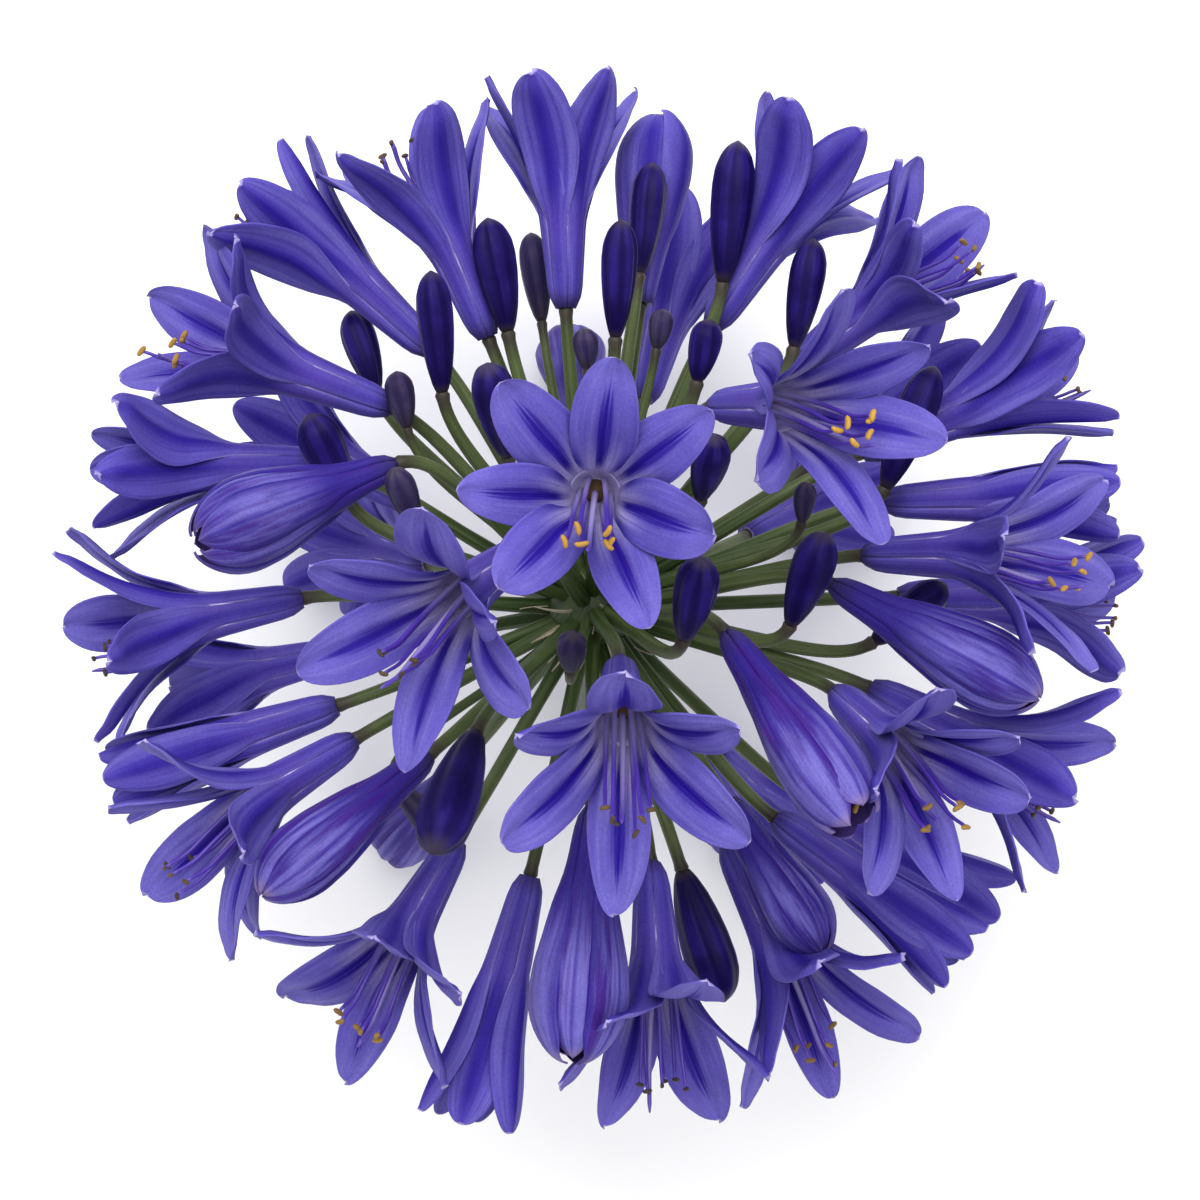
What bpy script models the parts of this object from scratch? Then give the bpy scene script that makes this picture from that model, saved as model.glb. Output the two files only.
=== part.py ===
"""Flower head of an agapanthus, as picked. It lies on its lower flowers and on the cut end of its scape.

Metres, +Z up from the surface it lies on, +X to the right and +Y to the head's upper edge.
Directions are given as a clock angle, turned from +X towards +Y, and a lean, measured from +Z.
"""

import math
from collections import namedtuple

import bmesh
import bpy
from mathutils import Matrix, Vector
from mathutils.bvhtree import BVHTree

MM = 0.001

# The knob that all the stalks grow from
HUB = Vector((-2.5 * MM, -1.65 * MM, 88 * MM))
HUB_RADIUS = 8 * MM
HUB_RINGS = 7
HUB_SIDES = 14

# The cut scape under the knob: its steps are shares of the knob's radius, with a swollen neck
SCAPE_RADIUS = 5 * MM
SCAPE_CLOCK = -90
SCAPE_LEAN = 161
NECK_RADIUS = 7.2 * MM
NECK_START = 0.2
NECK_END = 1.6

# Stalks. They start inside the knob, run straight for a share of their length and then turn to the flower.
STALK_RADIUS = 1.3 * MM
STALK_SIDES = 5
STALK_STEPS = (0.0, 0.5, 0.82, 1.0)
STALK_ROOT = 0.3
STALK_STRAIGHT = 0.6
STALK_END_RUN = 9 * MM
SEAT_GAP = 0.3 * MM
YOUNG_STALK_RADIUS = 0.9 * MM
YOUNG_STALK_SUNK = 2 * MM

# Open flower: a tube that splits into tepals, each a blade with a sharp edge and a thick midrib.
# Steps are shares of the tepal's length, and the tepals' widths are half widths.
TUBE_RADIUS = 2.6 * MM
TUBE_END = 0.30
TUBE_ANGLE = 5
BASE_RING = 0.03
SPLIT = 0.36
LOBE_STEPS = (0.54, 0.72, 0.89)
LOBE_WIDTHS = (0.80, 1.0, 0.74)
WIDE_TEPAL = 5.5 * MM
NARROW_TEPAL = 4.7 * MM
SECTOR_SHARE = 0.90
RIB = 1.2 * MM
WALL = 0.8 * MM
FLOOR_STEP = 0.22
FLOOR_RADIUS = 1.3 * MM
MIDLINE_MARKS = 60
SAG = Vector((0.0, -0.9, -0.44)).normalized()

# Stamens. Each one is drawn in as far as it takes to stay clear of what stands in front of its flower.
FILAMENT_RADIUS = 0.45 * MM
ANTHER_RADIUS = 1.0 * MM
STAMEN_END = 0.84
STAMEN_FAN = 2.6 * MM
STAMEN_DROOP = 5.0 * MM
STAMEN_STEPS = (0.5, 0.9, 1.0)
STAMEN_REACHES = (1.0, 0.9, 0.8, 0.7, 0.6)

# Closed flower: share of its length, and how far its girth has grown from the neck's to the full one
SHUT_FORM = ((0.03, -0.1), (0.22, 0.12), (0.42, 0.55), (0.62, 0.97), (0.78, 0.93), (0.91, 0.40))
SHUT_NECK = 0.6
SHUT_SIDES = 12
SHUT_GROOVE = 0.86

# Bud: share of its length and of its girth. Only a large one shows its ribs.
BUD_FORM = ((0.05, 0.62), (0.36, 0.84), (0.68, 1.0), (0.90, 0.6))
BUD_SIDES = 6
LARGE_BUD = 24
LARGE_BUD_SIDES = 12
BUD_GROOVE = 0.9

# Room that is kept between neighbours, and how far a tepal may bend to get it
ROOM = 0.45 * MM
BENDS = (0, -7, 7, -14, 14, -21, 21, -28, -35, -42, -49, -56)
LEAST_SPREAD = 4
MOST_SPREAD = 96
LIFT = 1.0 * MM
ROOM_STALK_STEPS = tuple(0.2 + 0.1 * step for step in range(9))
ROOM_TUBE_SIDES = 8
STAND_ROUNDS = 3

SHARP_ANGLE = math.radians(40)

# size is the length of a tepal, spread the angle of its tip from the axis, width the girth across a closed one
Open = namedtuple("Open", "name stalk clock lean face tilt size spread tepals roll stamens")
Shut = namedtuple("Shut", "name stalk clock lean face tilt size width")

OPEN_BLOOMS = (
    Open("bloom_01", 52, 135, 82, 160, 77, 50, 48, 6, 4, True),
    Open("bloom_02", 56, 122, 92, 137, 92, 47, 32, 6, -8, True),
    Open("bloom_03", 53, 111, 84, 112, 86, 45, 40, 6, 10, True),
    Open("bloom_04", 55, 95, 88, 92, 93, 45, 40, 6, 22, True),
    Open("bloom_05", 52, 76, 128, 75, 122, 45, 34, 6, 6, False),
    Open("bloom_06", 56, 67, 88, 57, 90, 46, 36, 6, -12, True),
    Open("bloom_07", 57, 50, 92, 38, 68, 46, 48, 6, 6, True),
    Open("bloom_08", 52, 59, 53, -4, 34, 49, 66, 6, 4, True),
    Open("bloom_09", 57, 30, 88, 22, 92, 47, 40, 6, -10, True),
    Open("bloom_10", 52, 33, 112, 36, 106, 44, 42, 6, 8, False),
    Open("bloom_11", 57, 20, 90, 2, 90, 46, 14, 6, 0, False),
    Open("bloom_12", 52, 11, 74, 0, 60, 48, 62, 6, 14, True),
    Open("bloom_13", 57, 2, 97, 0, 95, 46, 36, 6, -6, True),
    Open("bloom_14", 52, -19, 62, -46, 36, 47, 63, 6, -10, True),
    Open("bloom_15", 53, -16, 86, -27, 77, 48, 60, 6, 8, True),
    Open("bloom_16", 51, -49, 82, -36, 88, 46, 14, 6, 12, False),
    Open("bloom_17", 53, -42, 104, -33, 98, 46, 22, 6, 0, False),
    Open("bloom_18", 50, -60, 80, -63, 66, 49, 58, 6, -18, True),
    Open("bloom_19", 50, -77, 69, -87, 66, 48, 56, 6, 30, True),
    Open("bloom_20", 51, -103, 76, -104, 86, 46, 14, 6, 15, False),
    Open("bloom_21", 50, -120, 77, -118, 58, 48, 54, 6, -5, True),
    Open("bloom_22", 51, -151, 74, -148, 64, 47, 56, 6, 6, True),
    Open("bloom_23", 50, -159, 82, -162, 92, 46, 10, 6, 0, False),
    Open("bloom_24", 53, 178, 84, -173, 82, 46, 56, 6, -8, True),
    Open("bloom_25", 52, -170, 114, -167, 110, 46, 44, 6, 10, False),
    Open("bloom_26", 50, 138, 18, -142, 39, 49, 70, 6, 3, True),
    Open("bloom_27", 57, 152, 88, -176, 88, 46, 20, 6, 8, False),
    Open("bloom_28", 52, 87, 25, -130, 4, 46, 71, 7, 5, True),
    Open("bloom_29", 50, -62, 12, -88, 30, 49, 70, 6, 0, True),
    Open("bloom_30", 52, 150, 122, 150, 116, 45, 42, 6, -6, False),
)

SHUT_BLOOMS = (
    Shut("closed_01", 58, 81, 99, 84, 97, 37, 13.5),
    Shut("closed_02", 51, 6, 56, -29, 84, 42, 14.5),
    Shut("closed_03", 50, -10, 28, -56, 62, 44, 14),
    Shut("closed_04", 49, -55, 58, -58, 84, 32, 11),
    Shut("closed_05", 50, -90, 43, -94, 80, 45, 16.5),
    Shut("closed_06", 50, -138, 50, -140, 76, 39, 12.5),
    Shut("closed_07", 51, 143, 57, -158, 80, 39, 16),
)

BUDS = (
    Shut("bud_01", 53, 107, 80, 100, 84, 21, 7.7),
    Shut("bud_02", 51, 125, 66, 95, 80, 22, 7),
    Shut("bud_03", 57, 135, 97, 108, 95, 16, 6.5),
    Shut("bud_04", 50, 156, 75, 114, 75, 17, 8),
    Shut("bud_05", 49, 119, 38, 102, 55, 19, 8),
    Shut("bud_06", 51, 85, 72, 87, 78, 21.5, 6.4),
    Shut("bud_07", 62, 82, 92, 83, 92, 21, 6.6),
    Shut("bud_08", 64, 68, 84, 84, 86, 26, 7.8),
    Shut("bud_09", 61, 52, 76, 80, 84, 20, 6.5),
    Shut("bud_10", 58, 22, 82, 68, 84, 24, 7.5),
    Shut("bud_11", 49, 65, 65, 78, 75, 11.5, 6),
    Shut("bud_12", 49, 45, 33, 77, 45, 15, 6.5),
    Shut("bud_13", 49, -19, 20, 78, 52, 18, 7.5),
    Shut("bud_14", 51, -5, 43, 71, 62, 19, 7.6),
    Shut("bud_15", 52, -7, 84, 39, 80, 17, 7),
    Shut("bud_16", 51, -71, 80, -72, 85, 25, 9.4),
    Shut("bud_17", 49, -133, 37, -109, 50, 27, 10.5),
)

# Buds so young that they are one with their stalk
YOUNG_BUDS = (
    Shut("young_01", 54, 100, 96, 97, 97, 17, 6),
    Shut("young_02", 48, 91, 62, 95, 70, 7.5, 4.6),
    Shut("young_03", 49, 76, 80, 80, 85, 7.4, 4.6),
    Shut("young_04", 50, 22, 53, 85, 60, 8, 4.2),
    Shut("young_05", 48, 136, 76, 100, 80, 10.5, 5.5),
    Shut("young_06", 48, 155, 45, 110, 60, 12, 5.5),
    Shut("young_07", 42, -109, 16, 85, 45, 9, 5.4),
    Shut("young_08", 50, -138, 100, -48, 95, 14, 6),
)

# The lower flowers that carry the head. Their stalks are as long as it takes to reach the surface.
RESTING_OPEN = (
    Open("rest_01", 54, 25, 142, 25, 150, 46, 42, 6, 0, False),
    Open("rest_02", 54, 165, 142, 165, 150, 46, 42, 6, 0, False),
    Open("rest_03", 54, -50, 140, -50, 148, 46, 42, 6, 0, False),
)
RESTING_SHUT = (
    Shut("rest_04", 54, 95, 144, 95, 152, 42, 13),
    Shut("rest_05", 54, -130, 140, -130, 148, 42, 13),
)


def aim(clock, lean):
    """Unit vector for a clock angle and a lean, in degrees."""
    turn = math.radians(clock)
    away = math.radians(lean)
    return Vector((math.sin(away) * math.cos(turn), math.sin(away) * math.sin(turn), math.cos(away)))


def flower_axes(floret):
    """Right, up and forward of a flower. Up is where its weight would lift it from."""
    forward = aim(floret.face, floret.tilt)
    up = -(SAG - forward * SAG.dot(forward)).normalized()
    return up.cross(forward), up, forward


def stalk_end(floret):
    return HUB + aim(floret.clock, floret.lean) * floret.stalk * MM


def flower_base(floret):
    return stalk_end(floret) + aim(floret.face, floret.tilt) * SEAT_GAP


def funnel_line(size, spread, steps):
    """Distance along the axis, radius and slope at each step of a tepal's midline, from the base out."""
    wanted = list(steps)
    found = []
    along = 0.0
    radius = TUBE_RADIUS
    for mark in range(MIDLINE_MARKS + 1):
        share = mark / MIDLINE_MARKS
        slope = math.radians(tepal_slope(share, spread))
        while wanted and share >= wanted[0] - 1e-9:
            found.append((along, radius, slope))
            wanted.pop(0)
        along += math.cos(slope) * size / MIDLINE_MARKS
        radius += math.sin(slope) * size / MIDLINE_MARKS
    return found


def tepal_slope(share, spread):
    opening = max(0.0, (share - TUBE_END) / (1 - TUBE_END))
    return TUBE_ANGLE + (spread - TUBE_ANGLE) * opening


class Bloom:
    """The places on one open flower, all worked out from its row."""

    def __init__(self, row, base=None):
        self.row = row
        self.base = base or flower_base(row)
        self.right, self.up, self.forward = flower_axes(row)
        self.size = row.size * MM

    def radial(self, column):
        turn = column * math.pi / self.row.tepals + math.radians(self.row.roll)
        return self.up * math.cos(turn) + self.right * math.sin(turn)

    def across(self, column):
        turn = column * math.pi / self.row.tepals + math.radians(self.row.roll)
        return self.right * math.cos(turn) - self.up * math.sin(turn)

    def place(self, along, radius, column):
        return self.base + self.forward * along + self.radial(column) * radius

    def half_width(self, step, radius, tepal):
        full = NARROW_TEPAL if tepal % 2 else WIDE_TEPAL
        share = radius * math.tan(math.pi / self.row.tepals) * SECTOR_SHARE
        return min(full * LOBE_WIDTHS[step], share)

    def lobe(self, tepal, spread, extra=0.0):
        """Rows of (left edge, rib outside, rib inside, right edge) of one tepal above the split, and its tip."""
        column = 2 * tepal
        line = funnel_line(self.size, spread, LOBE_STEPS + (1.0,))
        rows = []
        for step, (along, radius, slope) in enumerate(line[:-1]):
            outward = self.radial(column) * math.cos(slope) - self.forward * math.sin(slope)
            middle = self.place(along, radius, column)
            half = self.half_width(step, radius, tepal) + extra
            curl = radius * (1 - math.cos(half / radius))
            side = self.across(column) * radius * math.sin(half / radius)
            edge = middle - outward * curl
            rib = outward * (RIB / 2 + extra)
            rows.append((edge - side, middle + rib, middle - rib, edge + side))
        along, radius, slope = line[-1]
        return rows, self.place(along, radius, column)


def add_quad(faces, a, b, c, d):
    """Two triangles that meet along a-c."""
    faces.append((a, b, c))
    faces.append((a, c, d))


def lobe_shell(bloom, tepal, spread, extra):
    """A closed blade a little larger than one tepal, to try whether it is clear of its neighbours."""
    rows, tip = bloom.lobe(tepal, spread, extra)
    points = [point for row in rows for point in row] + [tip]
    faces = []
    for step in range(len(rows) - 1):
        low, high = 4 * step, 4 * step + 4
        for near, rib in ((0, 1), (0, 2), (3, 1), (3, 2)):
            add_quad(faces, low + near, low + rib, high + rib, high + near)
    last = 4 * (len(rows) - 1)
    for near, rib in ((0, 1), (0, 2), (3, 1), (3, 2)):
        faces.append((last + near, last + rib, len(points) - 1))
    return points, faces


def stamen_rings(bloom, root, number, reach):
    """Rings of three points along one stamen, from the floor of the throat to the end of its anther."""
    start = sum(root, Vector()) / 3
    out = bloom.radial(2 * number + 1)
    begin = (start - bloom.base).dot(bloom.forward)
    end = bloom.size * STAMEN_END * reach
    radii = (FILAMENT_RADIUS, FILAMENT_RADIUS, ANTHER_RADIUS)
    rings = []
    for t, radius in zip(STAMEN_STEPS, radii):
        middle = bloom.base + bloom.forward * (begin + (end - begin) * t)
        middle += out * (FLOOR_RADIUS / 2 + STAMEN_FAN * t * reach)
        middle -= bloom.up * STAMEN_DROOP * reach * t * t
        spokes = [(point - start) - bloom.forward * (point - start).dot(bloom.forward) for point in root]
        rings.append([middle + spoke.normalized() * radius for spoke in spokes])
    return rings


def open_mesh(bloom, spreads, stamen_reach):
    """One closed solid: tube, tepals and stamens. stamen_reach of 0 leaves the stamens out."""
    count = bloom.row.tepals
    columns = 2 * count
    points = []
    faces = []

    def put(new):
        points.extend(new)
        return list(range(len(points) - len(new), len(points)))

    line = funnel_line(bloom.size, bloom.row.spread, (BASE_RING, FLOOR_STEP, SPLIT))
    (low, _, _), (floor, _, _), (split, mouth, _) = line
    heel = put([bloom.base])[0]
    ring = put([bloom.place(low, TUBE_RADIUS, c) for c in range(columns)])
    outer = put([bloom.place(split, mouth, c) for c in range(columns)])
    inner = put([bloom.place(split, mouth - WALL, c) for c in range(columns)])
    pit = put([bloom.place(floor, FLOOR_RADIUS, 2 * k) for k in range(count)])
    centre = put([bloom.base + bloom.forward * floor])[0]
    for c in range(columns):
        n = (c + 1) % columns
        faces.append((heel, ring[n], ring[c]))
        add_quad(faces, ring[c], ring[n], outer[n], outer[c])
    for k in range(count):
        rib, right, left = 2 * k, (2 * k + 1) % columns, (2 * k - 1) % columns
        rows, tip = bloom.lobe(k, spreads[k])
        levels = [(outer[left], outer[rib], inner[rib], outer[right])]
        levels += [tuple(put(list(row))) for row in rows]
        end = put([tip])[0]
        first = levels[1]
        add_quad(faces, outer[left], outer[rib], first[1], first[0])
        add_quad(faces, outer[right], first[3], first[1], outer[rib])
        add_quad(faces, inner[left], first[0], first[2], inner[rib])
        add_quad(faces, inner[right], inner[rib], first[2], first[3])
        faces.append((outer[right], inner[right], first[3]))
        faces.append((outer[left], first[0], inner[left]))
        for here, there in zip(levels[1:-1], levels[2:]):
            add_quad(faces, here[0], here[1], there[1], there[0])
            add_quad(faces, here[3], there[3], there[1], here[1])
            add_quad(faces, here[0], there[0], there[2], here[2])
            add_quad(faces, here[3], here[2], there[2], there[3])
        last = levels[-1]
        faces.append((last[0], last[1], end))
        faces.append((last[3], end, last[1]))
        faces.append((last[0], end, last[2]))
        faces.append((last[3], last[2], end))
        after = (k + 1) % count
        faces.append((inner[rib], pit[k], inner[right]))
        faces.append((inner[right], pit[k], pit[after]))
        faces.append((inner[right], pit[after], inner[2 * after]))
        root = (pit[k], centre, pit[after])
        if not stamen_reach:
            faces.append(root)
            continue
        below = list(root)
        for stamen_ring in stamen_rings(bloom, [points[i] for i in root], k, stamen_reach):
            above = put(stamen_ring)
            for a in range(3):
                b = (a + 1) % 3
                add_quad(faces, below[a], below[b], above[b], above[a])
            below = above
        faces.append(tuple(below))
    return points, faces


def spindle_mesh(floret, base, profile, columns, groove):
    """A closed spindle along the flower's axis, ribbed when it has a groove between its columns."""
    right, up, forward = flower_axes(floret)
    size = floret.size * MM
    points = [base]
    for share, radius in profile:
        for column in range(columns):
            turn = column * math.tau / columns
            reach = radius * (groove if column % 2 else 1.0)
            out = up * math.cos(turn) + right * math.sin(turn)
            points.append(base + forward * size * share + out * reach)
    points.append(base + forward * size)
    faces = []
    last = len(points) - 1
    for column in range(columns):
        after = (column + 1) % columns
        faces.append((0, 1 + after, 1 + column))
        for level in range(len(profile) - 1):
            low, high = 1 + level * columns, 1 + (level + 1) * columns
            add_quad(faces, low + column, low + after, high + after, high + column)
        top = 1 + (len(profile) - 1) * columns
        faces.append((top + column, top + after, last))
    return points, faces


def shut_mesh(floret, base=None):
    """A closed flower: a tube that swells and ends in a blunt tip."""
    half = floret.width * MM / 2
    neck = min(TUBE_RADIUS, half * SHUT_NECK)
    profile = [(share, neck + (half - neck) * grown) for share, grown in SHUT_FORM]
    return spindle_mesh(floret, base or flower_base(floret), profile, SHUT_SIDES, SHUT_GROOVE)


def bud_mesh(floret):
    half = floret.width * MM / 2
    profile = [(share, half * girth) for share, girth in BUD_FORM]
    if floret.size > LARGE_BUD:
        return spindle_mesh(floret, flower_base(floret), profile, LARGE_BUD_SIDES, BUD_GROOVE)
    return spindle_mesh(floret, flower_base(floret), profile, BUD_SIDES, 1.0)


def stalk_line(floret, end, steps):
    """Middle points of a stalk: straight out of the hub, then round to the way its flower faces."""
    outward = (end - HUB).normalized()
    facing = aim(floret.face, floret.tilt)
    length = (end - HUB).length
    start = HUB + outward * HUB_RADIUS * STALK_ROOT
    lead = start + outward * (length - STALK_END_RUN) * STALK_STRAIGHT
    trail = end - facing * STALK_END_RUN
    line = []
    for t in steps:
        s = 1 - t
        line.append(start * s**3 + lead * 3 * s * s * t + trail * 3 * s * t * t + end * t**3)
    return line


def tube_mesh(line, radii, sides):
    """A closed tube through the points of a line."""
    points = []
    faces = []
    spoke = (line[1] - line[0]).normalized().orthogonal()
    for i, middle in enumerate(line):
        ahead = line[min(i + 1, len(line) - 1)] - line[max(i - 1, 0)]
        forward = ahead.normalized()
        spoke = (spoke - forward * spoke.dot(forward)).normalized()
        for side in range(sides):
            out = Matrix.Rotation(side * math.tau / sides, 3, forward) @ spoke
            points.append(middle + out * radii[i])
    for i in range(len(line) - 1):
        low, high = i * sides, (i + 1) * sides
        for side in range(sides):
            after = (side + 1) % sides
            add_quad(faces, low + side, low + after, high + after, high + side)
    top = (len(line) - 1) * sides
    faces.append(tuple(reversed(range(sides))))
    faces.append(tuple(range(top, top + sides)))
    return points, faces


def make_object(name, points, faces, material):
    mesh = bpy.data.meshes.new(name)
    mesh.from_pydata([tuple(point) for point in points], [], faces)
    mesh.materials.append(material)
    shell = bmesh.new()
    shell.from_mesh(mesh)
    bmesh.ops.recalc_face_normals(shell, faces=shell.faces)
    shell.to_mesh(mesh)
    shell.free()
    made = bpy.data.objects.new(name, mesh)
    bpy.context.scene.collection.objects.link(made)
    mesh.shade_smooth()
    mesh.set_sharp_from_angle(angle=SHARP_ANGLE)
    return made


def make_material(name, colour, roughness):
    material = bpy.data.materials.new(name)
    material.use_nodes = True
    shader = material.node_tree.nodes["Principled BSDF"]
    shader.inputs["Base Color"].default_value = (*colour, 1.0)
    shader.inputs["Roughness"].default_value = roughness
    shader.inputs["Metallic"].default_value = 0.0
    material.diffuse_color = (*colour, 1.0)
    return material


class Obstacle:
    """Something that a tepal has to stay clear of."""

    def __init__(self, owner, points, faces):
        self.owner = owner
        self.tree = BVHTree.FromPolygons([tuple(p) for p in points], faces)
        self.middle = sum(points, Vector()) / len(points)
        self.reach = max((point - self.middle).length for point in points)

    def meets(self, other):
        if (self.middle - other.middle).length > self.reach + other.reach:
            return False
        return bool(self.tree.overlap(other.tree))


def is_clear(shape, obstacles, owner):
    return not any(other.owner != owner and shape.meets(other) for other in obstacles)


def tube_obstacle(bloom):
    line = funnel_line(bloom.size, bloom.row.spread, (BASE_RING, SPLIT))
    middle = [bloom.base + bloom.forward * along for along, _, _ in line]
    radii = [radius + ROOM for _, radius, _ in line]
    points, faces = tube_mesh([bloom.base] + middle, [TUBE_RADIUS] + radii, ROOM_TUBE_SIDES)
    return Obstacle(bloom.row.name, points, faces)


def settle(blooms, obstacles):
    """Bends each tepal just far enough to clear what is there already, highest flowers first."""
    spreads = {}
    for bloom in sorted(blooms, key=lambda b: -(b.base + b.forward * b.size).z):
        name = bloom.row.name
        chosen = []
        for tepal in range(bloom.row.tepals):
            for bend in BENDS:
                spread = min(max(bloom.row.spread + bend, LEAST_SPREAD), MOST_SPREAD)
                points, faces = lobe_shell(bloom, tepal, spread, ROOM)
                shape = Obstacle(name, points, faces)
                if min(point.z for point in points) > LIFT and is_clear(shape, obstacles, name):
                    break
            chosen.append(spread)
            obstacles.append(shape)
        spreads[name] = chosen
    return spreads


def stand(rows, shape_of):
    """Slides each resting flower along its stalk until its lowest point meets the surface."""
    bases = {}
    for row in rows:
        base = flower_base(row)
        direction = aim(row.clock, row.lean)
        for _ in range(STAND_ROUNDS):
            points, _ = shape_of(row, base)
            base -= direction * min(point.z for point in points) / direction.z
        bases[row.name] = base
    return bases


def scape_mesh():
    """The scape ends in a square cut whose lowest edge lies on the surface."""
    down = aim(SCAPE_CLOCK, SCAPE_LEAN)
    end = HUB + down * HUB.z / -down.z
    line = [HUB + down * HUB_RADIUS * NECK_START, HUB + down * HUB_RADIUS * NECK_END, end]
    points, faces = tube_mesh(line, [NECK_RADIUS, SCAPE_RADIUS, SCAPE_RADIUS], HUB_SIDES)
    lift = down * min(point.z for point in points) / -down.z
    cut = range(len(points) - HUB_SIDES, len(points))
    for number in cut:
        points[number] = points[number] + lift
    return points, faces


def plan():
    """Everything that both the solids and their checks need: blooms, bends and where each stalk ends."""
    resting = stand(RESTING_OPEN, lambda row, base: open_mesh(Bloom(row, base), [row.spread] * row.tepals, 0))
    resting.update(stand(RESTING_SHUT, shut_mesh))
    blooms = [Bloom(row) for row in OPEN_BLOOMS]
    rigid = [Bloom(row, resting[row.name]) for row in RESTING_OPEN]
    ends = {row.name: stalk_end(row) for row in OPEN_BLOOMS + SHUT_BLOOMS + BUDS + YOUNG_BUDS}
    for row in RESTING_OPEN + RESTING_SHUT:
        ends[row.name] = resting[row.name] - aim(row.face, row.tilt) * SEAT_GAP
    obstacles = [tube_obstacle(bloom) for bloom in blooms]
    for bloom in rigid:
        obstacles.append(Obstacle(bloom.row.name, *open_mesh(bloom, [bloom.row.spread] * 6, 0)))
    for row in SHUT_BLOOMS + RESTING_SHUT:
        obstacles.append(Obstacle(row.name, *shut_mesh(row, resting.get(row.name))))
    for row in BUDS + YOUNG_BUDS:
        obstacles.append(Obstacle(row.name, *bud_mesh(row)))
    for row in OPEN_BLOOMS + RESTING_OPEN + SHUT_BLOOMS + RESTING_SHUT + BUDS + YOUNG_BUDS:
        line = stalk_line(row, ends[row.name], ROOM_STALK_STEPS)
        obstacles.append(Obstacle(row.name, *tube_mesh(line, [STALK_RADIUS] * len(line), STALK_SIDES)))
    spreads = settle(blooms, obstacles)
    for row in RESTING_OPEN:
        spreads[row.name] = [row.spread] * row.tepals
    return blooms + rigid, spreads, ends, resting, obstacles


def stamen_reach(bloom, spreads, obstacles):
    """How far the stamens stand out: all the way, or drawn in where something is in front of them."""
    if not bloom.row.stamens:
        return 0
    bare = len(open_mesh(bloom, spreads, 0)[0])
    for reach in STAMEN_REACHES:
        points, faces = open_mesh(bloom, spreads, reach)
        stamens = [face for face in faces if max(face) >= bare]
        if is_clear(Obstacle(bloom.row.name, points, stamens), obstacles, bloom.row.name):
            return reach
    return 0


def make_knob(name, material):
    mesh = bpy.data.meshes.new(name)
    ball = bmesh.new()
    bmesh.ops.create_uvsphere(ball, u_segments=HUB_SIDES, v_segments=HUB_RINGS, radius=HUB_RADIUS)
    bmesh.ops.translate(ball, verts=ball.verts, vec=HUB)
    ball.to_mesh(mesh)
    ball.free()
    mesh.materials.append(material)
    knob = bpy.data.objects.new(name, mesh)
    bpy.context.scene.collection.objects.link(knob)
    return knob


def build_stem(ends, material):
    """Knob, scape, stalks and the youngest buds, joined into one solid."""
    parts = bpy.data.collections.new("stem_parts")
    bpy.context.scene.collection.children.link(parts)
    pieces = [scape_mesh()]
    for row in OPEN_BLOOMS + RESTING_OPEN + SHUT_BLOOMS + RESTING_SHUT + BUDS:
        line = stalk_line(row, ends[row.name], STALK_STEPS)
        pieces.append(tube_mesh(line, [STALK_RADIUS] * len(line), STALK_SIDES))
    for row in YOUNG_BUDS:
        end = ends[row.name] + aim(row.face, row.tilt) * YOUNG_STALK_SUNK
        line = stalk_line(row, end, STALK_STEPS)
        pieces.append(tube_mesh(line, [YOUNG_STALK_RADIUS] * len(line), STALK_SIDES))
        pieces.append(bud_mesh(row))
    for number, (points, faces) in enumerate(pieces):
        piece = make_object(f"stem_piece_{number:02d}", points, faces, material)
        bpy.context.scene.collection.objects.unlink(piece)
        parts.objects.link(piece)
    stem = make_knob("stalks_and_scape", material)
    union = stem.modifiers.new("union", "BOOLEAN")
    union.operation = "UNION"
    union.operand_type = "COLLECTION"
    union.collection = parts
    union.solver = "EXACT"
    bpy.context.view_layer.update()
    evaluated = stem.evaluated_get(bpy.context.evaluated_depsgraph_get())
    joined = bpy.data.meshes.new_from_object(evaluated)
    stem.modifiers.remove(union)
    old = stem.data
    stem.data = joined
    joined.name = "stalks_and_scape"
    bpy.data.meshes.remove(old)
    for piece in list(parts.objects):
        mesh = piece.data
        bpy.data.objects.remove(piece)
        bpy.data.meshes.remove(mesh)
    bpy.data.collections.remove(parts)
    joined.shade_smooth()
    joined.set_sharp_from_angle(angle=SHARP_ANGLE)
    return stem


def clear_scene():
    for thing in list(bpy.data.objects):
        bpy.data.objects.remove(thing)


def main():
    clear_scene()
    petal = make_material("petal", (0.115, 0.085, 0.50), 0.5)
    spent = make_material("spent_petal", (0.075, 0.04, 0.36), 0.5)
    bud = make_material("bud", (0.035, 0.022, 0.17), 0.45)
    green = make_material("stalk", (0.09, 0.13, 0.035), 0.5)
    blooms, spreads, ends, resting, obstacles = plan()
    for bloom in blooms:
        name = bloom.row.name
        reach = stamen_reach(bloom, spreads[name], obstacles)
        make_object(name, *open_mesh(bloom, spreads[name], reach), petal)
    for row in SHUT_BLOOMS + RESTING_SHUT:
        make_object(row.name, *shut_mesh(row, resting.get(row.name)), spent)
    for row in BUDS:
        make_object(row.name, *bud_mesh(row), bud)
    build_stem(ends, green)


if __name__ == "__main__":
    main()
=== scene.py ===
"""Looks of an agapanthus flower head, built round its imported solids.

The head lies as picked, on its lower flowers and on the cut end of its scape. Metres, +Z up, +X to the right
and +Y to the head's upper edge. A clock angle turns from +X towards +Y, and a lean is measured from +Z.
"""

import math
from collections import namedtuple
from functools import cached_property

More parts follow.
